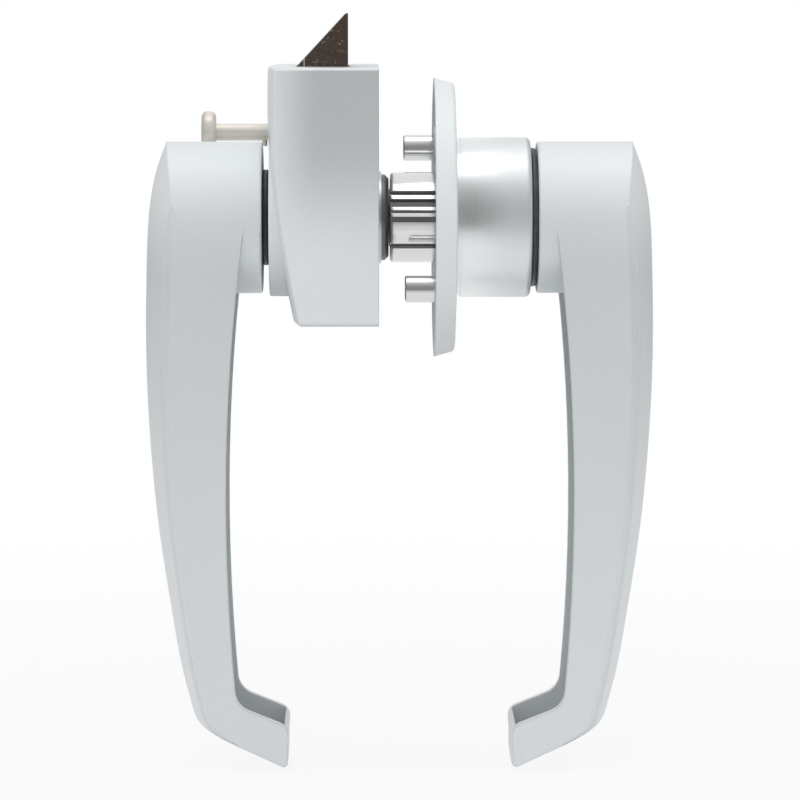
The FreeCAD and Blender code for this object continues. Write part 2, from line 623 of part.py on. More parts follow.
def make_pin_clip():
    """Open spring clip in the locking pin's groove."""
    x0 = pin_groove_x() + SEAT_GAP
    x1 = x0 + PIN_CLIP_THICKNESS - 2 * SEAT_GAP
    half = PIN_CLIP_MOUTH / 2
    ring = cylinder(x0, x1, PIN_CLIP_R, PIN_Y, PIN_Z)
    bore = cylinder(x0, x1, PIN_R - PIN_GROOVE_DEPTH + SEAT_GAP, PIN_Y, PIN_Z)
    mouth = block(x0, x1, PIN_Y - half, PIN_Y + half, PIN_Z, PIN_Z + PIN_CLIP_R + OVERCUT)
    return ring.cut([bore, mouth])


def pin_keyway(gap):
    """Slot under the locking pin that lets its cross pin pass."""
    half = PIN_STOP_R + PIN_KEYWAY_GAP
    return block(
        PIN_BUSH_FRONT_X - OVERCUT, PIN_BUSH_END_X + OVERCUT, PIN_Y - half, PIN_Y + half,
        PIN_Z - PIN_STOP_REACH - gap, PIN_Z)


def make_pin_bush():
    """Guide bush with a keyway that lets the cross pin pass, and a groove for its ring."""
    bush = cylinder(PIN_BUSH_FRONT_X, PIN_BUSH_END_X, PIN_BUSH_R, PIN_Y, PIN_Z)
    bore = cylinder(
        PIN_BUSH_FRONT_X - OVERCUT, PIN_BUSH_END_X + OVERCUT, PIN_R + RUN_GAP, PIN_Y, PIN_Z)
    half = PIN_RING_WIRE_R + PIN_RING_ROOM
    deep = PIN_R + RUN_GAP + 2 * PIN_RING_WIRE_R + PIN_RING_ROOM
    groove = cylinder(PIN_RING_X - half, PIN_RING_X + half, deep, PIN_Y, PIN_Z)
    return bush.cut([bore, pin_keyway(SLIDE_GAP), groove])


def make_pin_ring():
    """Rubber friction ring that holds the locking pin where it is put."""
    centre_r = PIN_R + RUN_GAP + PIN_RING_WIRE_R
    ring = Part.makeTorus(centre_r, PIN_RING_WIRE_R, V(PIN_RING_X, PIN_Y, PIN_Z), V(1, 0, 0))
    return ring.cut(pin_keyway(OVERCUT))


def lever_outline(inset):
    """Front outline of a lever in the YZ plane: round boss running into a tapered blade."""
    r = LEVER_BOSS_R - inset
    half = LEVER_TIP_HALF - inset
    bottom = -LEVER_REACH - BEYOND_X
    top = Part.Arc(V(0, r, 0), V(0, 0, r), V(0, -r, 0)).toShape()
    sides = Part.makePolygon([
        V(0, -r, 0), V(0, -half, -LEVER_REACH), V(0, -half, bottom), V(0, half, bottom),
        V(0, half, -LEVER_REACH), V(0, r, 0)])
    return Part.Wire([top] + sides.Edges)


def blade_half_width(z):
    """Half the blade's width at a height below the spindle axis."""
    return LEVER_BOSS_R + (LEVER_BOSS_R - LEVER_TIP_HALF) * z / LEVER_REACH


def strip_outline():
    """Front outline of the lowered strip along the blade's edge on the +Y side."""
    border = math.sqrt(LEVER_BOSS_R ** 2 - LEVER_STRIP_TOP_Z ** 2)
    full_z, middle_z = LEVER_STRIP_FULL_Z, (LEVER_STRIP_TOP_Z + LEVER_STRIP_FULL_Z) / 2
    start = V(0, border, LEVER_STRIP_TOP_Z)
    middle = V(0, blade_half_width(middle_z) - LEVER_STRIP_WIDTH / 2, middle_z)
    full = V(0, blade_half_width(full_z) - LEVER_STRIP_WIDTH, full_z)
    foot = V(0, LEVER_TIP_HALF - LEVER_STRIP_WIDTH, -LEVER_REACH)
    bottom = -LEVER_REACH - BEYOND_X
    side = BEYOND_X
    lines = Part.makePolygon([
        full, foot, V(0, foot.y, bottom), V(0, side, bottom), V(0, side, LEVER_STRIP_TOP_Z), start])
    return Part.Wire([Part.Arc(start, middle, full).toShape()] + lines.Edges)


def blade_outline():
    """Side outline of the blade in the XZ plane: inner edge, heel, hooked tip and toe."""
    top_z, bottom_z = LEVER_BOSS_R + OVERCUT, -LEVER_REACH - BEYOND_X
    belly_z = (LEVER_EDGE_TOP_Z + LEVER_HEEL_Z) / 2
    upper = V(LEVER_BLADE_U, 0, LEVER_EDGE_TOP_Z)
    heel = V(LEVER_EDGE_FOOT_U, 0, LEVER_HEEL_Z)
    edge = Part.Arc(upper, V(LEVER_EDGE_BELLY_U, 0, belly_z), heel).toShape()
    shape = Part.makePolygon([
        heel, V(LEVER_TIP_U, 0, LEVER_TIP_TOP_Z), V(LEVER_TIP_U + LEVER_TOE_SLANT, 0, -LEVER_REACH),
        V(LEVER_TIP_U + 2 * LEVER_TOE_SLANT, 0, bottom_z), V(BEYOND_X, 0, bottom_z),
        V(BEYOND_X, 0, top_z), V(LEVER_BLADE_U, 0, top_z), upper])
    return Part.Wire([edge] + shape.Edges)


def lever_form(shift_u, shift_z):
    """The lever's crowned outer form, moved by a small shift."""
    points = []
    for u, share in LEVER_FACE_LINE:
        z = share * (LEVER_BOSS_R if share > 0 else LEVER_REACH)
        points.append((u + shift_u, z + shift_z))
    return crowned_solid(points, LEVER_CROWN_R, LEVER_BOSS_R + OVERCUT, 1, BEYOND_X)


def edge_near(edge, x, z):
    """True for an edge along Y at a given place in the XZ plane."""
    box = edge.BoundBox
    near = abs(box.Center.x - x) < KEEP and abs(box.Center.z - z) < KEEP
    return near and box.YLength > 1 and box.XLength < PICK and box.ZLength < PICK


def round_blade_corners(blade):
    """Round the heel and the hooked tip's corner, seen from the side."""
    heel = [e for e in blade.Edges if edge_near(e, LEVER_EDGE_FOOT_U, LEVER_HEEL_Z)]
    blade = blade.makeFillet(LEVER_HEEL_R, heel)
    corner = [e for e in blade.Edges if edge_near(e, LEVER_TIP_U, LEVER_TIP_TOP_Z)]
    return blade.makeFillet(LEVER_TIP_CORNER_R, corner)


def lever_boss():
    """Round boss with a broken edge at its end face."""
    boss = cylinder(0, BEYOND_X, LEVER_BOSS_R)
    rim = [e for e in boss.Edges if abs(e.BoundBox.XMax) < PICK]
    return boss.makeFillet(LEVER_BOSS_EDGE_R, rim)


def round_toe(body):
    """Round the toe, where the hook's end face meets the outer face."""
    toe = [e for e in body.Edges
           if e.BoundBox.ZMax < -LEVER_REACH and e.BoundBox.XMax < LEVER_TIP_U + 3 * LEVER_TOE_SLANT
           and e.BoundBox.YLength > LEVER_TIP_HALF]
    return body.makeFillet(LEVER_TOE_R, toe)


def make_lever_body():
    """One lever with its boss face at u = 0, open channel towards the door."""
    side = round_blade_corners(prism_along_y(blade_outline(), LEVER_BOSS_R + OVERCUT))
    blade = side.common(prism_along_x(lever_outline(0.0), -BEYOND_X, BEYOND_X))
    body = blade.fuse(lever_boss()).common(lever_form(0.0, 0.0))
    strip = prism_along_x(strip_outline(), LEVER_EDGE_FOOT_U, BEYOND_X)
    strip = strip.cut(lever_form(-LEVER_STRIP_STEP, 0.0))
    body = body.cut([strip, strip.mirror(V(0, 0, 0), V(0, 1, 0))])
    body = round_toe(body)
    channel = lever_form(-LEVER_FACE_WALL - LEVER_STRIP_STEP, LEVER_FACE_WALL).common(
        prism_along_x(lever_outline(LEVER_WALL), LEVER_TIP_U + LEVER_TIP_WALL, BEYOND_X))
    channel = channel.cut(cylinder(-BEYOND_X, 2 * BEYOND_X, LEVER_BOSS_R))
    return body.cut(channel)


def cross_hole(radius, u):
    """Round hole from the far side of a boss to the spindle."""
    return Part.makeCylinder(radius, LEVER_BOSS_R + OVERCUT, V(u, 0, 0), V(0, 1, 0))


def make_inner_lever(body):
    lever = body.cut([
        square_bar(-OVERCUT, SPINDLE_IN_LEVER + KEEP, SQUARE_HOLE),
        cross_hole(SET_SCREW_R + SEAT_GAP, SET_SCREW_U)])
    lever = lever.mirror(V(0, 0, 0), V(1, 0, 0))
    lever.translate(V(INNER_LEVER_FACE_X, 0, 0))
    return lever


def make_outer_lever(body):
    lever = body.cut([
        square_bar(-OVERCUT, SPINDLE_IN_LEVER + KEEP, SQUARE_HOLE),
        cylinder(-OVERCUT, OUTER_SHAFT_IN_LEVER, OUTER_SHAFT_R + SEAT_GAP),
        cross_hole(CROSS_PIN_R + SEAT_GAP, CROSS_PIN_U)])
    lever.translate(V(OUTER_LEVER_FACE_X, 0, 0))
    return lever


def make_set_screw():
    start = SPINDLE_SIDE / 2 + SEAT_GAP
    x = INNER_LEVER_FACE_X - SET_SCREW_U
    screw = Part.makeCylinder(SET_SCREW_R, SET_SCREW_LENGTH, V(x, start, 0), V(0, 1, 0))
    floor_y = start + SET_SCREW_LENGTH - SET_SCREW_HEX_DEPTH
    corners = [polar(SET_SCREW_HEX / math.sqrt(3), angle) for angle in range(0, 361, 60)]
    points = [V(x + a, floor_y, b) for a, b in corners]
    socket = Part.Face(Part.makePolygon(points)).extrude(V(0, SET_SCREW_HEX_DEPTH + OVERCUT, 0))
    return screw.cut(socket)


def make_cross_pin():
    start = SPINDLE_SIDE / 2 - CROSS_PIN_SEAT
    length = LEVER_BOSS_R - CROSS_PIN_INSET - start
    return Part.makeCylinder(
        CROSS_PIN_R, length, V(OUTER_LEVER_FACE_X + CROSS_PIN_U, start, 0), V(0, 1, 0))


def make_spindle():
    bar = square_bar(
        INNER_LEVER_FACE_X - SPINDLE_IN_LEVER, OUTER_LEVER_FACE_X + SPINDLE_IN_LEVER, SPINDLE_SIDE)
    start = SPINDLE_SIDE / 2 - CROSS_PIN_SEAT - SEAT_GAP
    pin_seat = Part.makeCylinder(
        CROSS_PIN_R + SEAT_GAP, SPINDLE_SIDE, V(OUTER_LEVER_FACE_X + CROSS_PIN_U, start, 0),
        V(0, 1, 0))
    return bar.cut(pin_seat)


def washer(x0, x1, outer_left, outer_right, inner):
    """Flat ring with rounded rims, tapered if its two radii differ."""
    ring = turned([(x0, inner), (x0, outer_left), (x1, outer_right), (x1, inner)])
    rims = [e for e in ring.Edges
            if e.BoundBox.YLength > 2 * inner + KEEP and e.BoundBox.XLength < PICK]
    return ring.makeFillet(WASHER_ROUND, rims)


def make_inner_washer():
    return washer(
        INNER_LEVER_FACE_X, COLLAR_FRONT_X - FACE_GAP, INNER_WASHER_R, INNER_WASHER_R,
        SQUARE_HOLE / math.sqrt(2) + RUN_GAP)


def make_outer_washer():
    return washer(
        NECK_END_X + FACE_GAP, OUTER_LEVER_FACE_X, OUTER_WASHER_R,
        OUTER_WASHER_R - OUTER_WASHER_TAPER, OUTER_SHAFT_R + SEAT_GAP)


def make_rose():
    """Dished disc with a hollow back, stud bosses and a hole for the barrel."""
    front_r = ROSE_R - ROSE_DRAFT
    disc = turned([
        (ROSE_BACK_X, 0), (ROSE_BACK_X, ROSE_R), (ROSE_RIM_X, front_r),
        (ROSE_FACE_X, NECK_R), (ROSE_FACE_X, 0)])
    rim = [e for e in disc.Edges
           if abs(e.BoundBox.ZMax - front_r) < PICK and e.BoundBox.XLength < PICK]
    disc = disc.makeFillet(ROSE_EDGE_R, rim)
    inner_r = ROSE_R - ROSE_WALL
    beyond = ROSE_BACK_X - OVERCUT
    hollow = turned([
        (beyond, 0), (beyond, inner_r), (ROSE_RIM_X - ROSE_WALL, inner_r - ROSE_HOLLOW_DRAFT),
        (ROSE_FLOOR_X, NECK_R), (ROSE_FLOOR_X, 0)])
    rose = disc.cut(hollow)
    boss_x = ROSE_BACK_X + ROSE_BOSS_SET_BACK
    bosses = [cylinder(boss_x, ROSE_FLOOR_X + KEEP, STUD_BOSS_R, y, z)
              for y, z in fixing_points(STUD_ANGLE)]
    bosses.append(cylinder(boss_x, ROSE_FLOOR_X + KEEP, BARREL_R + BARREL_BOSS_WALL))
    rose = rose.fuse(bosses)
    cuts = [cylinder(beyond, ROSE_FACE_X + OVERCUT, BARREL_R + SEAT_GAP)]
    cuts += [cylinder(beyond, ROSE_FACE_X - STUD_FACE_WALL, STUD_R + SEAT_GAP, y, z)
             for y, z in fixing_points(STUD_ANGLE)]
    return rose.cut(cuts).removeSplitter()


def make_mounting_studs():
    """Two round posts with a threaded hole in the end that meets the fixing screw."""
    start, end = STUD_END_X, ROSE_FACE_X - STUD_FACE_WALL - SEAT_GAP
    studs = []
    for y, z in fixing_points(STUD_ANGLE):
        post = turned([
            (start, 0), (start, STUD_R - STUD_CHAMFER), (start + STUD_CHAMFER, STUD_R),
            (end, STUD_R), (end, 0)], y, z)
        thread = cylinder(start - OVERCUT, start + STUD_THREAD_DEPTH, STUD_THREAD_R, y, z)
        studs.append(post.cut(thread))
    return Part.Compound(studs)


def make_neck_sleeve():
    """Cup on the rose's face that carries the outside lever's bearing."""
    foot_r, foot_x = NECK_R - NECK_FOOT_STEP, ROSE_FACE_X + NECK_FOOT_HEIGHT
    cup = turned([
        (ROSE_FACE_X, 0), (ROSE_FACE_X, foot_r), (foot_x, foot_r), (foot_x, NECK_R),
        (NECK_END_X, NECK_R), (NECK_END_X, 0)])
    rim = [e for e in cup.Edges
           if abs(e.BoundBox.XMin - NECK_END_X) < PICK and e.Length > 2 * math.pi * foot_r]
    cup = cup.makeFillet(NECK_EDGE_R, rim)
    cup = cup.cut(cylinder(ROSE_FACE_X - OVERCUT, NECK_END_X - NECK_CAP, NECK_R - NECK_WALL))
    return cup.cut(cylinder(ROSE_FACE_X - OVERCUT, NECK_END_X + OVERCUT, BARREL_R + SEAT_GAP))


def make_barrel():
    """Fluted tube that stands through the door's hole and carries the shaft's bushes."""
    start = BARREL_START_X
    tube = cylinder(start, BARREL_END_X, BARREL_R)
    rim = [e for e in tube.Edges if abs(e.BoundBox.XMax - start) < PICK]
    tube = tube.makeFillet(BARREL_ROUND, rim)
    flute_end = ROSE_BACK_X - BARREL_BAND
    half, outside = BARREL_FACET_HALF, BARREL_R + OVERCUT
    cuts = [
        cylinder(start - OVERCUT, BARREL_END_X + OVERCUT, BARREL_BORE_R),
        cylinder(start - OVERCUT, start + BARREL_MOUTH_DEPTH, BARREL_BORE_R + BARREL_MOUTH_STEP)]
    for turn in (0, 180):
        for first, last, depth in BARREL_FLUTES:
            cuts.append(sector(
                start - OVERCUT, flute_end, BARREL_R - depth, outside, first + turn, last + turn))
        facet = block(start - OVERCUT, flute_end, BARREL_R - BARREL_FACET_DEPTH, outside, -half, half)
        facet.rotate(V(0, 0, 0), V(1, 0, 0), 180 + BARREL_FACET_ANGLE + turn)
        cuts.append(facet)
    return tube.cut(cuts)


def make_barrel_bushes():
    """Two plain bushes for the outside shaft, one at each end of the barrel."""
    bushes = [
        cylinder(x, x + BARREL_BUSH_LENGTH, BARREL_BORE_R - SEAT_GAP).cut(
            cylinder(x - OVERCUT, x + BARREL_BUSH_LENGTH + OVERCUT, BUSH_BORE_R))
        for x in BUSH_STARTS]
    return Part.Compound(bushes)


def make_outer_shaft():
    """Turned sleeve round the spindle, from the follower to the outside lever."""
    start = HUB_COLLAR_END_X + FACE_GAP
    end = OUTER_LEVER_FACE_X + OUTER_SHAFT_IN_LEVER - FACE_GAP
    shaft = cylinder(start, end, OUTER_SHAFT_R)
    groove_end = CIRCLIP_X + CIRCLIP_THICKNESS
    groove = cylinder(CIRCLIP_X, groove_end, OUTER_SHAFT_R + OVERCUT).cut(
        cylinder(CIRCLIP_X, groove_end, OUTER_SHAFT_R - CIRCLIP_GROOVE))
    return shaft.cut([groove, square_bar(start - OVERCUT, end + OVERCUT, SQUARE_HOLE)])


def make_circlip():
    """Open ring that keeps the outside shaft from pulling out of the barrel."""
    x0 = CIRCLIP_X + SEAT_GAP
    x1 = x0 + CIRCLIP_THICKNESS - 2 * SEAT_GAP
    half = CIRCLIP_MOUTH / 2
    ring = cylinder(x0, x1, CIRCLIP_R)
    bore = cylinder(x0, x1, OUTER_SHAFT_R - CIRCLIP_GROOVE + SEAT_GAP)
    mouth = block(x0, x1, -half, half, 0, CIRCLIP_R + OVERCUT)
    return ring.cut([bore, mouth])


def build_parts():
    """Every piece of the lock by node name."""
    lever = make_lever_body()
    return {
        "latch_case": make_latch_case(),
        "back_plate": make_back_plate(),
        "back_plate_screws": make_back_plate_screws(),
        "front_bush": make_front_bush(),
        "follower": make_follower(),
        "bolt": make_bolt(),
        "bolt_spring": make_bolt_spring(),
        "lock_pin": make_lock_pin(),
        "pin_stop": make_pin_stop(),
        "pin_clip": make_pin_clip(),
        "pin_bush": make_pin_bush(),
        "pin_friction_ring": make_pin_ring(),
        "inner_lever": make_inner_lever(lever),
        "outer_lever": make_outer_lever(lever),
        "lever_set_screw": make_set_screw(),
        "lever_cross_pin": make_cross_pin(),
        "spindle": make_spindle(),
        "inner_washer": make_inner_washer(),
        "outer_washer": make_outer_washer(),
        "rose": make_rose(),
        "mounting_studs": make_mounting_studs(),
        "neck_sleeve": make_neck_sleeve(),
        "barrel": make_barrel(),
        "barrel_bushes": make_barrel_bushes(),
        "outer_shaft": make_outer_shaft(),
        "shaft_circlip": make_circlip(),
    }


os.makedirs("parts", exist_ok=True)
for name, shape in build_parts().items():
    shape.exportStep(f"parts/{name}.step")
    print(name, len(shape.Solids), round(shape.Volume, 2), shape.isValid())
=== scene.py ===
"""Looks of a lever handle door lock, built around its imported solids.

Metres. +X runs along the spindle from the inside lever to the outside lever, +Z is
up, and the viewer of the photograph looks from -Y. The solids keep their own shapes
and get finishes that are made of nodes. Three pieces are made here: the threads in the
studs, the fluted barrel and the bolt's spring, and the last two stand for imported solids.
"""

import logging
import math
from dataclasses import dataclass, field, replace
from enum import Enum
from typing import Any, Dict, List, Mapping, Optional, Sequence, Tuple, Union

import bmesh
import bpy
from mathutils import Euler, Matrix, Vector


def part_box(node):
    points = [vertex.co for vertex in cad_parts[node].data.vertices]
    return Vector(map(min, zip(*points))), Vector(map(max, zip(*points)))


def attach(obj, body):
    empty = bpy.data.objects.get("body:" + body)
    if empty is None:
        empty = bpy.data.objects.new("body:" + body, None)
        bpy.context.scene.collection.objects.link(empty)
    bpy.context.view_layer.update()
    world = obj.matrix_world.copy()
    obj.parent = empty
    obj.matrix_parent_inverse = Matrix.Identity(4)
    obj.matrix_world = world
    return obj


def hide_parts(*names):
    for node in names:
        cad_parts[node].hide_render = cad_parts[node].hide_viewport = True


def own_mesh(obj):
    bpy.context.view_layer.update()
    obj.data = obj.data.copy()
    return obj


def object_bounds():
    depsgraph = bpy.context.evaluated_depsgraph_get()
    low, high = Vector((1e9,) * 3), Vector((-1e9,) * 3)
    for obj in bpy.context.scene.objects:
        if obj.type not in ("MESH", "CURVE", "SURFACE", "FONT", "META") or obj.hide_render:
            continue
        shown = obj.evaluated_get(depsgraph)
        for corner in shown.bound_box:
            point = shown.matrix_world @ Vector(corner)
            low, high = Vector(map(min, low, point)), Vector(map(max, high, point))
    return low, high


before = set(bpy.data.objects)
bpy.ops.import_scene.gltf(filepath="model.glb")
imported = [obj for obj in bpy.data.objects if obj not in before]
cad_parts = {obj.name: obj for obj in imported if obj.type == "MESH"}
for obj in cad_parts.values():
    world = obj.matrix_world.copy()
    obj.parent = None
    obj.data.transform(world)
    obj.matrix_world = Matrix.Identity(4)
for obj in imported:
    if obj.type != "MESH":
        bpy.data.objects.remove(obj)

CAD_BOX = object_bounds()
LOG = logging.getLogger("door_lock")

Color = Tuple[float, float, float]
Point = Tuple[float, float, float]
Range = Tuple[float, float]
WHITE = (1.0, 1.0, 1.0, 1.0)
LOCK_BODY = "lock_body"


class Slot(Enum):
    """Material slots of the record."""

    SILVER_PAINT = "silver_paint"
    SATIN_CHROME = "satin_chrome"
    BRIGHT_CHROME = "bright_chrome"
    NICKEL = "nickel"
    SINTERED_STEEL = "sintered_steel"
    ZINC_STEEL = "zinc_steel"
    DARK_STEEL = "dark_steel"
    SPRING_STEEL = "spring_steel"
    BLACK_NYLON = "black_nylon"
    BLACK_RUBBER = "black_rubber"


class Term:
    """A number socket that takes part in Python expressions as Math nodes."""

    def __init__(self, recipe: "Recipe", socket: bpy.types.NodeSocket) -> None:
        """Keep the socket and the recipe that its Math nodes are added to."""
        self.recipe = recipe
        self.socket = socket

    def _maths(
        self, operation: str, other: "Number", reflected: bool = False,
    ) -> "Term":
        """Add one Math node.

        Args:
            operation: The Math node's operation.
            other: The other number or term.
            reflected: True where the other value stands in front.

        Returns:
            The node's result.
        """
        first, second = (other, self) if reflected else (self, other)
        made = self.recipe.node(
            "ShaderNodeMath", {"operation": operation}, {0: first, 1: second})
        return Term(self.recipe, made.outputs[0])

    def __add__(self, other: "Number") -> "Term":
        """self + other."""
        return self._maths("ADD", other)

    def __radd__(self, other: "Number") -> "Term":
        """other + self."""
        return self._maths("ADD", other, True)

    def __sub__(self, other: "Number") -> "Term":
        """self - other."""
        return self._maths("SUBTRACT", other)

    def __rsub__(self, other: "Number") -> "Term":
        """other - self."""
        return self._maths("SUBTRACT", other, True)

    def __mul__(self, other: "Number") -> "Term":
        """self * other."""
        return self._maths("MULTIPLY", other)

    def __rmul__(self, other: "Number") -> "Term":
        """other * self."""
        return self._maths("MULTIPLY", other, True)

    def __truediv__(self, other: "Number") -> "Term":
        """self / other."""
        return self._maths("DIVIDE", other)

    def __rtruediv__(self, other: "Number") -> "Term":
        """other / self."""
        return self._maths("DIVIDE", other, True)

    def __abs__(self) -> "Term":
        """Distance from zero."""
        return self._maths("ABSOLUTE", 0.0)

    def at_least(self, other: "Number") -> "Term":
        """The larger of two values."""
        return self._maths("MAXIMUM", other)

    def root(self) -> "Term":
        """Square root."""
        return self._maths("SQRT", 0.0)

    def step(self, low: float, high: float) -> "Term":
        """Smooth step from 0 at low to 1 at high.

        Args:
            low: The value below which the result is 0.
            high: The value above which the result is 1.

        Returns:
            A term between 0 and 1.
        """
        made = self.recipe.node(
            "ShaderNodeMapRange", {"interpolation_type": "SMOOTHSTEP"},
            {"Value": self, "From Min": low, "From Max": high})
        return Term(self.recipe, made.outputs[0])


Number = Union[float, Term]
Input = Union[float, Sequence[float], Term, bpy.types.NodeSocket]
Waves = Union[float, Point]


class Recipe:
    """The node tree of one finish; every node in it comes from the node method."""

    def __init__(self, tree: bpy.types.NodeTree) -> None:
        """Start from an empty tree."""
        self.tree = tree
        tree.nodes.clear()

    def node(
        self, kind: str, settings: Optional[Mapping[str, Any]] = None,
        sockets: Optional[Mapping[Union[str, int], Input]] = None,
    ) -> bpy.types.Node:
        """Add one node.

        Args:
            kind: The node's type.
            settings: Its own settings, set first; "stops" fills a colour ramp.
            sockets: Values, terms or sockets for its inputs, by name or number.

        Returns:
            The new node.
        """
        made = self.tree.nodes.new(kind)
        for name, value in (settings or {}).items():
            if name == "stops":
                self._fill_ramp(made.color_ramp, value)
            else:
                setattr(made, name, value)
        for key, value in (sockets or {}).items():
            target = made.inputs[key]
            if isinstance(value, Term):
                self.tree.links.new(value.socket, target)
            elif isinstance(value, bpy.types.NodeSocket):
                self.tree.links.new(value, target)
            else:
                target.default_value = value
        return made

    @staticmethod
    def _fill_ramp(
        ramp: bpy.types.ColorRamp, stops: Sequence[Tuple[float, Color]],
    ) -> None:
        """Give a colour ramp its stops.

        Args:
            ramp: The ramp of a new node.
            stops: A place and a colour for each stop.
        """
        while len(ramp.elements) < len(stops):
            ramp.elements.new(1.0)
        for element, (place, color) in zip(ramp.elements, stops):
            element.position = place
            element.color = (*color, 1.0)

    def place(self) -> bpy.types.NodeSocket:
        """The piece's own coordinates."""
        return self.node("ShaderNodeTexCoord").outputs["Object"]

    def axes(self) -> Tuple[Term, Term, Term]:
        """The piece's own coordinates as three terms."""
        split = self.node("ShaderNodeSeparateXYZ", None, {0: self.place()})
        return tuple(Term(self, output) for output in split.outputs)

    def inward(self, edges: Range) -> Term:
        """Find walls that face the piece's middle plane, as the inside of a channel does.

        Such a wall's normal points against its own place on Y, in the piece's coordinates.

        Args:
            edges: Distances from the middle plane between which the mask rises.

        Returns:
            1 on such walls, 0 elsewhere.
        """
        normal = self.node("ShaderNodeTexCoord").outputs["Normal"]
        across = self.node("ShaderNodeSeparateXYZ", None, {0: normal}).outputs[1]
        outward = Term(self, across) * self.axes()[1]
        return (outward * -1.0).step(*edges)

    def stretched(self, scale: Point) -> bpy.types.NodeSocket:
        """The piece's own coordinates, scaled along each axis.

        Args:
            scale: Factor along X, Y and Z.

        Returns:
            A vector socket.
        """
        return self.node(
            "ShaderNodeVectorMath", {"operation": "MULTIPLY"},
            {0: self.place(), 1: scale}).outputs[0]

    def noise(self, waves: Waves, octaves: float = 2.0, fineness: float = 0.5) -> Term:
        """Smooth random pattern between 0 and 1.

        Args:
            waves: Waves per metre, along all axes or along X, Y and Z.
            octaves: Layers of finer noise.
            fineness: Weight of the finer layers.

        Returns:
            The pattern's value.
        """
        scale = waves if isinstance(waves, tuple) else (waves,) * 3
        made = self.node("ShaderNodeTexNoise", None, {
            "Vector": self.stretched(scale), "Scale": 1.0, "Detail": octaves,
            "Roughness": fineness})
        return Term(self, made.outputs[0])

    def grains(self, per_metre: float) -> Term:
        """Random value for each cell of a fine grain.

        Args:
            per_metre: Cells in a metre.

        Returns:
            The cell's value, between 0 and 1.
        """
        cells = self.node("ShaderNodeTexVoronoi", None, {
            "Vector": self.place(), "Scale": per_metre, "Randomness": 1.0})
        split = self.node("ShaderNodeSeparateColor", None, {0: cells.outputs["Color"]})
        return Term(self, split.outputs[0])

    def blend(self, mask: Number, first: Input, second: Input) -> bpy.types.NodeSocket:
        """Mix two colours.

        Args:
            mask: 0 for the first colour, 1 for the second.
            first: A colour or colour socket.
            second: A colour or colour socket.

        Returns:
            The mixed colour's socket.
        """
        colors = [(*c, 1.0) if isinstance(c, tuple) else c for c in (first, second)]
        # The node's colour sockets share their names with others, so they go by number.
        factor, color_a, color_b, color_out = 0, 6, 7, 2
        mixed = self.node(
            "ShaderNodeMix", {"data_type": "RGBA", "clamp_factor": True},
            {factor: mask, color_a: colors[0], color_b: colors[1]})
        return mixed.outputs[color_out]

    def rims(self, radius: float, samples: int) -> bpy.types.NodeSocket:
        """Normal of a surface whose sharp rims are a little rounded."""
        return self.node("ShaderNodeBevel", {"samples": samples}, {"Radius": radius}).outputs[0]

    def bump(
        self, height: Number, distance: float,
        rims: Optional[bpy.types.NodeSocket] = None,
    ) -> bpy.types.NodeSocket:
        """Normal of a surface with a small relief.

        Args:
            height: Relief between 0 and 1.
            distance: Height in metres that 1 stands for.
            rims: Normal that the relief lies on, where it isn't the surface's own.

        Returns:
            The normal's socket.
        """
        sockets = {"Height": height, "Distance": distance, "Strength": 1.0}
        if rims is not None:
            sockets["Normal"] = rims
        return self.node("ShaderNodeBump", None, sockets).outputs[0]

    def surface(self, **values: Input) -> bpy.types.NodeSocket:
        """Principled surface; the keywords are its sockets, with _ for a space."""
        sockets = {name.replace("_", " "): value for name, value in values.items()}
        return self.node("ShaderNodeBsdfPrincipled", None, sockets).outputs[0]


@dataclass(frozen=True)
class Finish:
    """A finish of the lock, with its slot's name, its colour and its gloss."""

    slot: Slot
    color: Color
    roughness: float

    def material(self) -> bpy.types.Material:
        """Make a material with the finish's nodes.

        Returns:
            The new material.
        """
        made = bpy.data.materials.new(self.slot.value + "_finish")
        made.use_nodes = True
        recipe = Recipe(made.node_tree)
        recipe.node("ShaderNodeOutputMaterial", None, {"Surface": self.surface(recipe)})
        return made

    def surface(self, recipe: Recipe) -> bpy.types.NodeSocket:
        """Shader of the finish; each kind of finish gives its own."""
        raise NotImplementedError

    def toned(self, share: float) -> Color:
        """The finish's colour, made lighter or darker by a share."""
        return tuple(min(value * share, 1.0) for value in self.color)

    def between(self, recipe: Recipe, mask: Number, shares: Range) -> bpy.types.NodeSocket:
        """The finish's colour at one share where the mask is 0, at the other where it is 1."""
        return recipe.blend(mask, self.toned(shares[0]), self.toned(shares[1]))


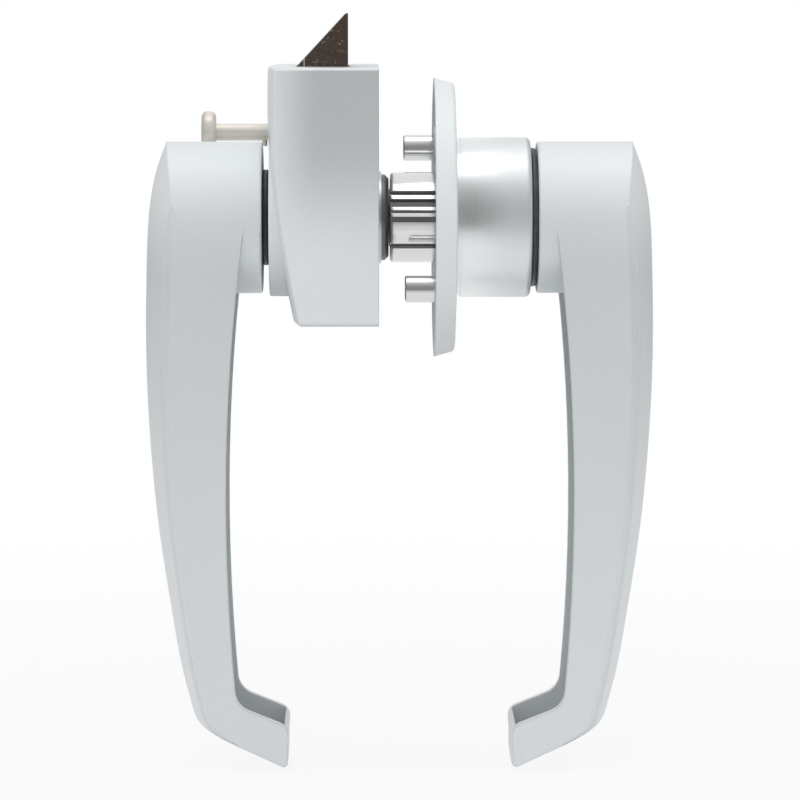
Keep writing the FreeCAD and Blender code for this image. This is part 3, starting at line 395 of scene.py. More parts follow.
@dataclass(frozen=True)
class SilverPaint(Finish):
    """Satin silver paint with fine flakes under a slightly uneven skin.

    The share of flakes changes from the foot's to the top's between the two heights of
    the fall. A thin front has no flakes before its first X and all of them past its
    second. The inside of a channel gets a darker tone of the paint as painted shade.
    """

    top_flakes: float = 0.14
    foot_flakes: float = 0.52
    fall: Range = (-0.014, 0.009)
    thin_front: Optional[Range] = None
    inside_shade_tone: float = 0.8
    inside_shade_edges: Range = (0.0002, 0.001)
    flakes_per_metre: float = 7000.0
    flake_contrast: float = 0.55
    cloud_waves: float = 22.0
    cloud_contrast: float = 0.5
    tones: Range = (0.94, 1.06)
    cloud_gloss: float = 0.08
    flake_gloss: float = 0.05
    skin_waves: float = 650.0
    skin_height: float = 0.000006
    rim_radius: float = 0.0006
    rim_samples: int = 6

    def flakes_in_place(self, recipe: Recipe) -> Term:
        """Share of flakes at each place of the piece.

        Args:
            recipe: The material's recipe.

        Returns:
            A share between 0 and 1.
        """
        x, _, z = recipe.axes()
        share = z.step(*self.fall) * (self.top_flakes - self.foot_flakes) + self.foot_flakes
        return share * x.step(*self.thin_front) if self.thin_front else share

    def surface(self, recipe: Recipe) -> bpy.types.NodeSocket:
        """Paint whose flakes vary in brightness and whose skin waves softly.

        Args:
            recipe: The material's recipe.

        Returns:
            The shader's socket.
        """
        flakes = recipe.grains(self.flakes_per_metre) - 0.5
        cloud = recipe.noise(self.cloud_waves, octaves=3.0) - 0.5
        skin = recipe.noise(self.skin_waves, octaves=1.5)
        tone = flakes * self.flake_contrast + cloud * self.cloud_contrast + 0.5
        color = self.between(recipe, tone, self.tones)
        # Painted shade: walls that face into a channel take a darker tone of the paint.
        if self.inside_shade_tone < 1.0:
            inside = recipe.inward(self.inside_shade_edges)
            color = recipe.blend(inside, color, self.toned(self.inside_shade_tone))
        rims = recipe.rims(self.rim_radius, self.rim_samples)
        return recipe.surface(
            Base_Color=color, Metallic=self.flakes_in_place(recipe),
            Roughness=self.roughness + cloud * self.cloud_gloss + flakes * self.flake_gloss,
            Normal=recipe.bump(skin, self.skin_height, rims))


@dataclass(frozen=True)
class SatinChrome(Finish):
    """Chrome over lines that were brushed round the spindle's axis.

    It is glossy up to the polished X and fully dulled from the dulled X on.
    """

    polished_x: float
    dulled_x: float
    dulling: float = 0.24
    haze: float = 0.22
    line_waves: Point = (9000.0, 70.0, 70.0)
    line_depth: float = 0.0000016
    tones: Range = (0.97, 1.03)
    cloud_waves: float = 40.0
    cloud_gloss: float = 0.06
    line_gloss: float = 0.05

    def surface(self, recipe: Recipe) -> bpy.types.NodeSocket:
        """Fine rings round the axis, glossier at the foot than at the outer end.

        Args:
            recipe: The material's recipe.

        Returns:
            The shader's socket.
        """
        lines = recipe.noise(self.line_waves)
        cloud = recipe.noise(self.cloud_waves)
        dull = recipe.axes()[0].step(self.polished_x, self.dulled_x)
        drift = (cloud - 0.5) * self.cloud_gloss + (lines - 0.5) * self.line_gloss
        return recipe.surface(
            Base_Color=self.between(recipe, lines, self.tones),
            Metallic=1.0 - dull * self.haze,
            Roughness=self.roughness + dull * self.dulling + drift,
            Normal=recipe.bump(lines, self.line_depth))


@dataclass(frozen=True)
class BrightChrome(Finish):
    """Bright plate with the faint haze of handling, and painted shade down in flutes.

    Flute radii are those of the flutes' floors, which get the painted shade, and of the bright
    plate above them.
    """

    flute_radii: Optional[Range] = None
    flute_shade: Color = (0.27, 0.265, 0.26)
    patch_waves: float = 90.0
    patch_tones: Range = (1.0, 0.95)
    hazy_patches: Range = (0.45, 0.75)
    haze: float = 0.06
    ripple_waves: float = 380.0
    ripple_height: float = 0.000002

    def plated(self, recipe: Recipe, patches: Term) -> bpy.types.NodeSocket:
        """Colour of the plate, darkened in the flutes' floors as painted shade.

        Args:
            recipe: The material's recipe.
            patches: The pattern of hazy patches.

        Returns:
            The colour's socket.
        """
        bright = self.between(recipe, patches, self.patch_tones)
        if self.flute_radii is None:
            return bright
        # Painted shade: below the floors' radius the plate takes a dark colour.
        _, y, z = recipe.axes()
        outside = (y * y + z * z).root().step(*self.flute_radii)
        return recipe.blend(outside, self.flute_shade, bright)

    def surface(self, recipe: Recipe) -> bpy.types.NodeSocket:
        """Mirror plate, a little duller in patches, over a softly rippled casting.

        Args:
            recipe: The material's recipe.

        Returns:
            The shader's socket.
        """
        patches = recipe.noise(self.patch_waves, octaves=3.0)
        ripple = recipe.noise(self.ripple_waves, octaves=1.0)
        return recipe.surface(
            Base_Color=self.plated(recipe, patches), Metallic=1.0,
            Roughness=self.roughness + patches.step(*self.hazy_patches) * self.haze,
            Normal=recipe.bump(ripple, self.ripple_height))


@dataclass(frozen=True)
class Nickel(Finish):
    """Warm plate over turned metal, with faint rings and darker streaks."""

    ring_waves: Point = (5200.0, 90.0, 90.0)
    ring_depth: float = 0.0000022
    ring_contrast: float = 0.4
    streak_waves: Point = (60.0, 700.0, 700.0)
    streaked: Range = (0.35, 0.75)
    streak_dulling: float = 0.08
    tones: Range = (1.05, 0.9)
    plate_share: float = 0.75

    def surface(self, recipe: Recipe) -> bpy.types.NodeSocket:
        """Turned rings across the piece's axis, which lies along X.

        Args:
            recipe: The material's recipe.

        Returns:
            The shader's socket.
        """
        rings = recipe.noise(self.ring_waves)
        streaks = recipe.noise(self.streak_waves).step(*self.streaked)
        tone = rings * self.ring_contrast + streaks * (1.0 - self.ring_contrast)
        return recipe.surface(
            Base_Color=self.between(recipe, tone, self.tones), Metallic=self.plate_share,
            Roughness=self.roughness + streaks * self.streak_dulling,
            Normal=recipe.bump(rings, self.ring_depth))


@dataclass(frozen=True)
class SinteredSteel(Finish):
    """Rough brown steel of the bolt, ground bright on its bevel; its scored line has a painted
    highlight.

    The bevel's plane runs along Y through a foot and a tip, each an X and a Z. The line
    lies in the near face, at one X and between two heights.
    """

    ground: Color
    foot: Range
    tip: Range
    near_y: float
    line_x: float
    line_z: Range
    bevel_skin: Range = (-0.00012, -0.00004)
    line_edges: Range = (0.000054, 0.000126)
    line_fade: float = 0.0001
    line_depths: Range = (0.0002, 0.0004)
    line_relief: float = 2.0
    grains_per_metre: float = 3600.0
    grain_height: float = 0.00002
    grain_contrast: float = 0.45
    pit_relief: float = 0.5
    blotch_waves: float = 420.0
    tones: Range = (0.55, 1.5)
    grinding_waves: Point = (300.0, 5200.0, 300.0)
    grinding_tone: float = 0.86
    speck_grains: Range = (0.92, 0.97)
    speck_blotches: Range = (0.42, 0.62)
    speck_share: float = 0.4
    metal: float = 0.55
    ground_metal: float = 0.35
    ground_gloss: float = 0.27
    blotch_gloss: float = 0.12

    def bevel(self, x: Term, z: Term) -> Term:
        """Find the bevel's ground face.

        Args:
            x: The place's X.
            z: The place's Z.

        Returns:
            1 on the bevel, 0 on the rough faces.
        """
        run, rise = self.tip[0] - self.foot[0], self.tip[1] - self.foot[1]
        length = math.hypot(run, rise)
        height = (x - self.foot[0]) * (-rise / length) + (z - self.foot[1]) * (run / length)
        return height.step(*self.bevel_skin)

    def scored_line_and_highlight(self, x: Term, y: Term, z: Term) -> Term:
        """Find the short line that is scored in the near face above the case, where a highlight
        is painted.

        Args:
            x: The place's X.
            y: The place's Y.
            z: The place's Z.

        Returns:
            1 in the line, 0 elsewhere.
        """
        low, high = self.line_z
        shallow, deep = self.line_depths
        across = 1.0 - abs(x - self.line_x).step(*self.line_edges)
        upwards = z.step(low - self.line_fade, low) * (1.0 - z.step(high - self.line_fade, high))
        return across * upwards * (1.0 - y.step(self.near_y + shallow, self.near_y + deep))

    def surface(self, recipe: Recipe) -> bpy.types.NodeSocket:
        """Pitted brown skin that gives way to fine grinding lines on the bevel.

        Args:
            recipe: The material's recipe.

        Returns:
            The shader's socket.
        """
        x, y, z = recipe.axes()
        bevel = self.bevel(x, z)
        line = self.scored_line_and_highlight(x, y, z)
        pits = recipe.grains(self.grains_per_metre)
        blotch = recipe.noise(self.blotch_waves, octaves=4.0, fineness=0.65)
        grinding = recipe.noise(self.grinding_waves)
        tone = pits * self.grain_contrast + blotch * (1.0 - self.grain_contrast)
        rough = self.between(recipe, tone, self.tones)
        scratched = tuple(value * self.grinding_tone for value in self.ground)
        ground = recipe.blend(grinding, self.ground, scratched)
        specks = pits.step(*self.speck_grains) * blotch.step(*self.speck_blotches)
        skin = recipe.blend(specks * self.speck_share, rough, ground)
        relief = (1.0 - bevel) * (pits * self.pit_relief + blotch) - line * self.line_relief
        drift = (blotch - 0.5) * self.blotch_gloss
        # Painted highlight: the scored line takes the ground colour; its groove is real relief.
        return recipe.surface(
            Base_Color=recipe.blend(bevel.at_least(line), skin, ground),
            Metallic=self.metal + bevel * self.ground_metal,
            Roughness=self.roughness - bevel * self.ground_gloss + drift,
            Normal=recipe.bump(relief, self.grain_height))


@dataclass(frozen=True)
class ZincSteel(Finish):
    """Rolled sheet and wire with bright zinc, faintly blue and yellow in patches."""

    patch_waves: float = 130.0
    warm_patches: Range = (0.45, 0.7)
    warm_dark: Color = (0.64, 0.63, 0.56)
    warm_pale: Color = (0.68, 0.66, 0.60)
    patch_gloss: float = 0.16
    rolling_waves: Point = (500.0, 420.0, 8000.0)
    rolling_depth: float = 0.000003
    tones: Range = (0.96, 1.04)

    def surface(self, recipe: Recipe) -> bpy.types.NodeSocket:
        """Rolling lines under plate whose tint drifts.

        Args:
            recipe: The material's recipe.

        Returns:
            The shader's socket.
        """
        patches = recipe.noise(self.patch_waves, octaves=3.0)
        rolled = recipe.noise(self.rolling_waves)
        cool = self.between(recipe, rolled, self.tones)
        warm = recipe.blend(rolled, self.warm_dark, self.warm_pale)
        return recipe.surface(
            Base_Color=recipe.blend(patches.step(*self.warm_patches), cool, warm),
            Metallic=1.0, Roughness=self.roughness + (patches - 0.5) * self.patch_gloss,
            Normal=recipe.bump(rolled, self.rolling_depth))


@dataclass(frozen=True)
class DarkSteel(Finish):
    """Dark oiled steel, turned round the spindle's axis."""

    turning_waves: Point = (7200.0, 60.0, 60.0)
    turning_depth: float = 0.000004
    turning_contrast: float = 0.5
    oil_waves: float = 160.0
    oil_gloss: float = 0.22
    tones: Range = (0.75, 1.3)
    metal: float = 0.6

    def surface(self, recipe: Recipe) -> bpy.types.NodeSocket:
        """Turning marks with an oily change of gloss.

        Args:
            recipe: The material's recipe.

        Returns:
            The shader's socket.
        """
        turned = recipe.noise(self.turning_waves)
        oil = recipe.noise(self.oil_waves, octaves=3.0)
        tone = turned * self.turning_contrast + oil * (1.0 - self.turning_contrast)
        return recipe.surface(
            Base_Color=self.between(recipe, tone, self.tones), Metallic=self.metal,
            Roughness=self.roughness + (oil - 0.5) * self.oil_gloss,
            Normal=recipe.bump(turned, self.turning_depth))


@dataclass(frozen=True)
class SpringSteel(Finish):
    """Drawn wire and punched strip."""

    mark_waves: float = 2600.0
    mark_depth: float = 0.000004
    tones: Range = (0.85, 1.12)
    film_waves: float = 300.0
    film_gloss: float = 0.15

    def surface(self, recipe: Recipe) -> bpy.types.NodeSocket:
        """Fine draw marks and a light film of oil.

        Args:
            recipe: The material's recipe.

        Returns:
            The shader's socket.
        """
        marks = recipe.noise(self.mark_waves, octaves=3.0, fineness=0.7)
        film = recipe.noise(self.film_waves)
        return recipe.surface(
            Base_Color=self.between(recipe, marks, self.tones), Metallic=1.0,
            Roughness=self.roughness + (film - 0.5) * self.film_gloss,
            Normal=recipe.bump(marks, self.mark_depth))


@dataclass(frozen=True)
class MouldedBlack(Finish):
    """Black nylon or rubber with the fine skin of its mould."""

    skin_waves: float = 4200.0
    skin_height: float = 0.000005
    dust_waves: float = 210.0
    dusty: Range = (0.4, 0.9)
    dust_tones: Range = (1.0, 2.4)
    dust_gloss: float = 0.2

    def surface(self, recipe: Recipe) -> bpy.types.NodeSocket:
        """Moulded skin with dusty patches.

        Args:
            recipe: The material's recipe.

        Returns:
            The shader's socket.
        """
        skin = recipe.noise(self.skin_waves)
        dust = recipe.noise(self.dust_waves, octaves=4.0, fineness=0.6)
        return recipe.surface(
            Base_Color=self.between(recipe, dust.step(*self.dusty), self.dust_tones),
            Metallic=0.0, Roughness=self.roughness + (dust - 0.5) * self.dust_gloss,
            Normal=recipe.bump(skin, self.skin_height))


@dataclass
class Dresser:
    """Makes each slot's finish once and puts it on solids and new pieces."""

    finishes: Sequence[Finish]
    made: Dict[Slot, bpy.types.Material] = field(default_factory=dict)

    def material(self, slot: Slot) -> bpy.types.Material:
        """Look up a slot's material, which is made on first use.

        Args:
            slot: The slot.

        Returns:
            Its material.
        """
        if slot not in self.made:
            finish = next(item for item in self.finishes if item.slot is slot)
            self.made[slot] = finish.material()
        return self.made[slot]

    def dress(self, node: str, slot: Slot, own: Optional[Finish] = None) -> None:
        """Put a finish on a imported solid.

        Args:
            node: The solid's name.
            slot: The finish that it gets.
            own: A finish of its own, in place of the one that its slot shares.
        """
        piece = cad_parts[node]
        made = own.material() if own else self.material(slot)
        if not piece.data.materials:
            piece.data.materials.append(None)
        for index in range(len(piece.data.materials)):
            piece.data.materials[index] = made
        LOG.info("dressed %s in %s", node, slot.value)

    def add(
        self, name: str, mesh: bpy.types.Mesh, slot: Slot, own: Optional[Finish] = None,
    ) -> bpy.types.Object:
        """Add a new piece, which rides on the lock's fixed body.

        Args:
            name: The piece's name.
            mesh: Its finished mesh, in the lock's own place.
            slot: The finish that it gets.
            own: A finish of its own, in place of the one that its slot shares.

        Returns:
            The piece's object.
        """
        piece = bpy.data.objects.new(name, mesh)
        bpy.context.scene.collection.objects.link(piece)
        mesh.materials.clear()
        mesh.materials.append(own.material() if own else self.material(slot))
        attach(piece, LOCK_BODY)
        LOG.info("added %s on %s", name, LOCK_BODY)
        return piece


class Grower:
    """A Geometry Nodes tree that is filled in Python, run once and turned into a mesh."""

    def __init__(self, name: str, sizes: Mapping[str, float]) -> None:
        """Start a tree with one named input for each size.

        Args:
            name: Name of the tree and of the mesh that it makes.
            sizes: Names and values of the tree's inputs.
        """
        self.name = name
        self.sizes = dict(sizes)
        self.tree = bpy.data.node_groups.new(name, "GeometryNodeTree")
        sockets = self.tree.interface
        sockets.new_socket("Geometry", in_out="OUTPUT", socket_type="NodeSocketGeometry")
        for size in sizes:
            sockets.new_socket(size, in_out="INPUT", socket_type="NodeSocketFloat")
        self.source = self.tree.nodes.new("NodeGroupInput")

    def node(
        self, kind: str, settings: Optional[Mapping[str, Any]] = None,
        sockets: Optional[Mapping[Union[str, int], Any]] = None,
    ) -> bpy.types.Node:
        """Add one node.

        Args:
            kind: The node's type.
            settings: Its own settings, set before its sockets.
            sockets: Values, sockets or names of the tree's sizes for its inputs.

        Returns:
            The new node.
        """
        made = self.tree.nodes.new(kind)
        for name, value in (settings or {}).items():
            setattr(made, name, value)
        for key, value in (sockets or {}).items():
            if isinstance(value, str):
                value = self.source.outputs[value]
            if isinstance(value, bpy.types.NodeSocket):
                self.tree.links.new(value, made.inputs[key])
            else:
                made.inputs[key].default_value = value
        return made

    def coil(self, steps_per_turn: int, sides: int) -> bpy.types.NodeSocket:
        """Wire that winds up along Z.

        Its sizes are the tree's inputs Turns, Coil radius, Height and Wire radius.

        Args:
            steps_per_turn: Steps of the wire in one turn.
            sides: Sides of the wire's section.

        Returns:
            The wire's geometry.
        """
        helix = self.node("GeometryNodeCurveSpiral", None, {
            "Resolution": steps_per_turn, "Rotations": "Turns", "Start Radius": "Coil radius",
            "End Radius": "Coil radius", "Height": "Height"})
        section = self.node("GeometryNodeCurvePrimitiveCircle", {"mode": "RADIUS"}, {
            "Resolution": sides, "Radius": "Wire radius"})
        return self.node("GeometryNodeCurveToMesh", None, {
            "Curve": helix.outputs[0], "Profile Curve": section.outputs[0],
            "Fill Caps": True}).outputs[0]

    def harvest(
        self, result: bpy.types.NodeSocket, material: bpy.types.Material,
    ) -> bpy.types.Mesh:
        """Run the tree and keep its result as a plain mesh.

        Args:
            result: The geometry that the tree ends in.
            material: The material that the mesh gets.

        Returns:
            The new mesh, with no modifier left.
        """
        real = self.node("GeometryNodeRealizeInstances", None, {0: result})
        dressed = self.node("GeometryNodeSetMaterial", None, {
            0: real.outputs[0], "Material": material})
        self.node("NodeGroupOutput", None, {0: dressed.outputs[0]})
        seed_name = self.name + "_seed"
        seed = bpy.data.objects.new(seed_name, bpy.data.meshes.new(seed_name))
        bpy.context.scene.collection.objects.link(seed)
        modifier = seed.modifiers.new(self.name, "NODES")
        modifier.node_group = self.tree
        for item in self.tree.interface.items_tree:
            if item.in_out == "INPUT":
                modifier[item.identifier] = float(self.sizes[item.name])
        bpy.context.view_layer.update()
        ready = seed.evaluated_get(bpy.context.evaluated_depsgraph_get())
        mesh = bpy.data.meshes.new_from_object(ready)
        seed.modifiers.remove(modifier)
        bpy.data.objects.remove(seed)
        mesh.name = self.name
        mesh.shade_smooth()
        return mesh


@dataclass
class LeverSet:
    """Both levers, the spindle between them and what turns with it."""

    dresser: Dresser

    def build(self) -> None:
        """Dress the levers, the washers, the spindle and their fasteners."""
        for node in ("inner_lever", "outer_lever"):
            self.dresser.dress(node, Slot.SILVER_PAINT)
        for node in ("inner_washer", "outer_washer"):
            self.dresser.dress(node, Slot.BLACK_NYLON)
        for node in ("lever_set_screw", "lever_cross_pin", "outer_shaft", "follower"):
            self.dresser.dress(node, Slot.DARK_STEEL)
        self.dresser.dress("spindle", Slot.ZINC_STEEL)
        self.dresser.dress("shaft_circlip", Slot.SPRING_STEEL)


@dataclass
class LatchCase:
    """The cast case on the door's inside, with its back plate and screws."""

    dresser: Dresser

    def build(self) -> None:
        """Dress the case, its plate, its screws and the front bush."""
        self.dresser.dress("latch_case", Slot.SILVER_PAINT, case_finish())
        self.dresser.dress("back_plate", Slot.ZINC_STEEL)
        self.dresser.dress("back_plate_screws", Slot.ZINC_STEEL)
        self.dresser.dress("front_bush", Slot.BLACK_NYLON)


@dataclass
class BoltDrive:
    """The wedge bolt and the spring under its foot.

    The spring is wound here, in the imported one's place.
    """

    dresser: Dresser
    coil_radius: float = 0.0022
    wire_radius: float = 0.0003
    wire_sides: int = 10
    turns: float = 8.0
    steps_per_turn: int = 24
    squeeze: float = 0.0125

    def spring(self) -> bpy.types.Mesh:
        """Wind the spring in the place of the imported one.

        Returns:
            The spring's mesh.
        """
        low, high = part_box("bolt_spring")
        tree = Grower("squeezed_spring", {
            "Turns": self.turns, "Coil radius": self.coil_radius,
            "Height": high.z - low.z - 2 * self.wire_radius, "Wire radius": self.wire_radius})
        wire = tree.coil(self.steps_per_turn, self.wire_sides)
        foot = ((low.x + high.x) / 2, (low.y + high.y) / 2, low.z + self.wire_radius)
        placed = tree.node("GeometryNodeTransform", None, {0: wire, "Translation": foot})
        return tree.harvest(placed.outputs[0], self.dresser.material(Slot.SPRING_STEEL))

    def build(self) -> None:
        """Dress the bolt and put in its spring, under the bolt's foot."""
        self.dresser.dress("bolt", Slot.SINTERED_STEEL)
        piece = self.dresser.add("squeezed_spring", self.spring(), Slot.SPRING_STEEL)
        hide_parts("bolt_spring")
        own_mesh(piece)


@dataclass
class LockingPin:
    """The push pin beside the inside lever, with its bush, clip and ring."""

    dresser: Dresser

    def build(self) -> None:
        """Dress the pin and what guides it."""
        for node in ("lock_pin", "pin_stop", "pin_bush"):
            self.dresser.dress(node, Slot.NICKEL)
        self.dresser.dress("pin_clip", Slot.SPRING_STEEL)
        self.dresser.dress("pin_friction_ring", Slot.BLACK_RUBBER)


@dataclass
class FlutedBarrel:
    """The barrel in the door's hole, with the finer section of its flutes and ribs.

    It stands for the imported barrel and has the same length, radius, bore and mouth. The
    section goes up from the near side's lowest flute, as angles in degrees above the
    level and depths under the barrel's radius. The far side has it too, turned half
    round. The flutes run into the rose a little way.
    """

    dresser: Dresser
    bore: float = 0.008
    mouth: float = 0.0088
    mouth_depth: float = 0.0022
    rounding: float = 0.0008
    rounding_steps: int = 4
    run_in: float = 0.0006
    flute_shade_depths: Range = (0.00085, 0.00055)
    merge_distance: float = 0.000001
    sharp_angle: float = math.radians(25.0)
    widest_step: float = 4.0
    section: Tuple[Range, ...] = (
        (-39.9, 0.0), (-39.5, 0.0009), (-32.4, 0.0009), (-32.0, 0.0),
        (-3.0, 0.0), (-2.8, 0.001), (3.8, 0.001), (4.0, 0.0),
        (8.6, 0.0004), (8.8, 0.0009), (12.0, 0.0009), (12.2, 0.0),
        (16.8, 0.00036), (17.0, 0.0012), (27.0, 0.0012), (27.2, 0.0),
        (33.4, 0.00036), (33.7, 0.0009), (38.7, 0.0009), (39.0, 0.0),
    )

    def outline(self) -> List[Range]:
        """Divide the section into short steps, all the way round.

        Returns:
            Angle and depth of each point round the fluted part.
        """
        ends = (*self.section[1:], (self.section[0][0] + 180.0, 0.0))
        points = []
        for turn in (0.0, 180.0):
            for (angle, depth), (after, depth_after) in zip(self.section, ends):
                steps = math.ceil((after - angle) / self.widest_step)
                for step in range(steps):
                    share = step / steps
                    points.append((
                        math.radians(turn + angle + (after - angle) * share),
                        depth + (depth_after - depth) * share))
        return points

    def rings(
        self, start: float, end: float, radius: float, flute_end: float,
    ) -> List[List[Point]]:
        """Rings of points round the axis, out along the outside and back through the bore.

        Args:
            start: X of the barrel's open end.
            end: X of its far end.
            radius: Outer radius.
            flute_end: X where the flutes end.

        Returns:
            The rings, each with one point for each point of the outline.
        """
        outline = self.outline()
        fluted = []
        for step in range(self.rounding_steps + 1):
            turn = math.pi / 2 * step / self.rounding_steps
            x = start + self.rounding * (1.0 - math.cos(turn))
            fluted.append((x, radius - self.rounding * (1.0 - math.sin(turn))))
        fluted.append((flute_end, radius))
        mouth_floor = start + self.mouth_depth
        plain = [
            (flute_end, radius), (end, radius), (end, self.bore), (mouth_floor, self.bore),
            (mouth_floor, self.mouth), (start, self.mouth)]
        sized = [(x, [min(radius - depth, limit) for _, depth in outline]) for x, limit in fluted]
        sized += [(x, [limit] * len(outline)) for x, limit in plain]
        return [
            [(x, -reach * math.cos(angle), reach * math.sin(angle))
             for (angle, _), reach in zip(outline, radii)]
            for x, radii in sized]

    def mesh(self) -> bpy.types.Mesh:
        """Join the rings into one closed tube.

        Returns:
            The barrel's mesh.
        """
        low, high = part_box("barrel")
        rings = self.rings(low.x, high.x, high.z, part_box("rose")[0].x + self.run_in)
        work = bmesh.new()
        corners = [[work.verts.new(point) for point in ring] for ring in rings]
        for ring, after in zip(corners, (*corners[1:], corners[0])):
            for index in range(len(ring)):
                beside = (index + 1) % len(ring)
                work.faces.new((ring[index], ring[beside], after[beside], after[index]))
        bmesh.ops.remove_doubles(work, verts=work.verts, dist=self.merge_distance)
        bmesh.ops.dissolve_degenerate(work, edges=work.edges, dist=self.merge_distance)
        bmesh.ops.recalc_face_normals(work, faces=work.faces)
        made = bpy.data.meshes.new("fluted_barrel")
        work.to_mesh(made)
        work.free()
        made.shade_smooth()
        made.set_sharp_from_angle(angle=self.sharp_angle)
        return made

    def build(self) -> None:
        """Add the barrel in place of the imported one."""
        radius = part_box("barrel")[1].z
        # Depths of the flutes' floors, which get painted shade, and of the bright plate above
        # them.
        floor, top = (radius - depth for depth in self.flute_shade_depths)
        piece = self.dresser.add(
            "fluted_barrel", self.mesh(), Slot.BRIGHT_CHROME,
            replace(bright_chrome(), flute_radii=(floor, top)))
        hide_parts("barrel")


@dataclass
class OutsideHalf:
    """Rose, neck, bushes and studs, and the threads in the studs' ends."""

    dresser: Dresser
    pitch: float = 0.0007
    stud_radius: float = 0.003
    bore_radius: float = 0.00165
    ridge_radius: float = 0.00028
    ridge_sides: int = 6
    thread_length: float = 0.0063
    lead_in: float = 0.0003
    steps_per_turn: int = 20

    def stud_axes(self) -> Tuple[Point, Point]:
        """Work out from the studs' box where their threads start.

        Returns:
            Start of the upper stud's thread and of the lower one's.
        """
        low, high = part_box("mounting_studs")
        x = low.x + self.lead_in + self.pitch / 2
        return (
            (x, high.y - self.stud_radius, high.z - self.stud_radius),
            (x, low.y + self.stud_radius, low.z + self.stud_radius),
        )

    def threads(self) -> bpy.types.Mesh:
        """Grow a ridge that winds down each stud's bore.

        Returns:
            The mesh of both ridges.
        """
        first, second = self.stud_axes()
        tree = Grower("stud_threads", {
            "Turns": self.thread_length / self.pitch, "Coil radius": self.bore_radius,
            "Height": self.thread_length, "Wire radius": self.ridge_radius})
        ridge = tree.coil(self.steps_per_turn, self.ridge_sides)
        line = tree.node("GeometryNodeMeshLine", {"mode": "OFFSET"}, {
            "Count": 2, "Start Location": first, "Offset": Vector(second) - Vector(first)})
        copies = tree.node("GeometryNodeInstanceOnPoints", None, {
            "Points": line.outputs[0], "Instance": ridge,
            "Rotation": (0.0, math.pi / 2, 0.0)})
        return tree.harvest(copies.outputs[0], self.dresser.material(Slot.BRIGHT_CHROME))

    def build(self) -> None:
        """Dress the outside half and add the threads."""
        self.dresser.dress("rose", Slot.SILVER_PAINT, rose_finish())
        self.dresser.dress("neck_sleeve", Slot.SATIN_CHROME)
        self.dresser.dress("mounting_studs", Slot.BRIGHT_CHROME)
        self.dresser.dress("barrel_bushes", Slot.BLACK_NYLON)
        self.dresser.add("stud_threads", self.threads(), Slot.BRIGHT_CHROME)


def facing(place: Point, aim: Point) -> Euler:
    """Turn of a lamp or camera at a place that looks at an aim."""
    return (Vector(aim) - Vector(place)).to_track_quat("-Z", "Y").to_euler()


@dataclass
class Lamp:
    """A soft square lamp that looks at the spindle, seen in metal where it is mirrored."""

    name: str
    place: Point
    width: float
    power: float
    mirrored: bool

    def build(self) -> None:
        """Add the lamp to the scene."""
        light = bpy.data.lights.new(self.name, "AREA")
        light.shape = "SQUARE"
        light.size = self.width
        light.energy = self.power
        lamp = bpy.data.objects.new(self.name, light)
        lamp.location = self.place
        lamp.visible_glossy = self.mirrored
        lamp.rotation_euler = facing(self.place, (0.0, 0.0, 0.0))
        bpy.context.scene.collection.objects.link(lamp)


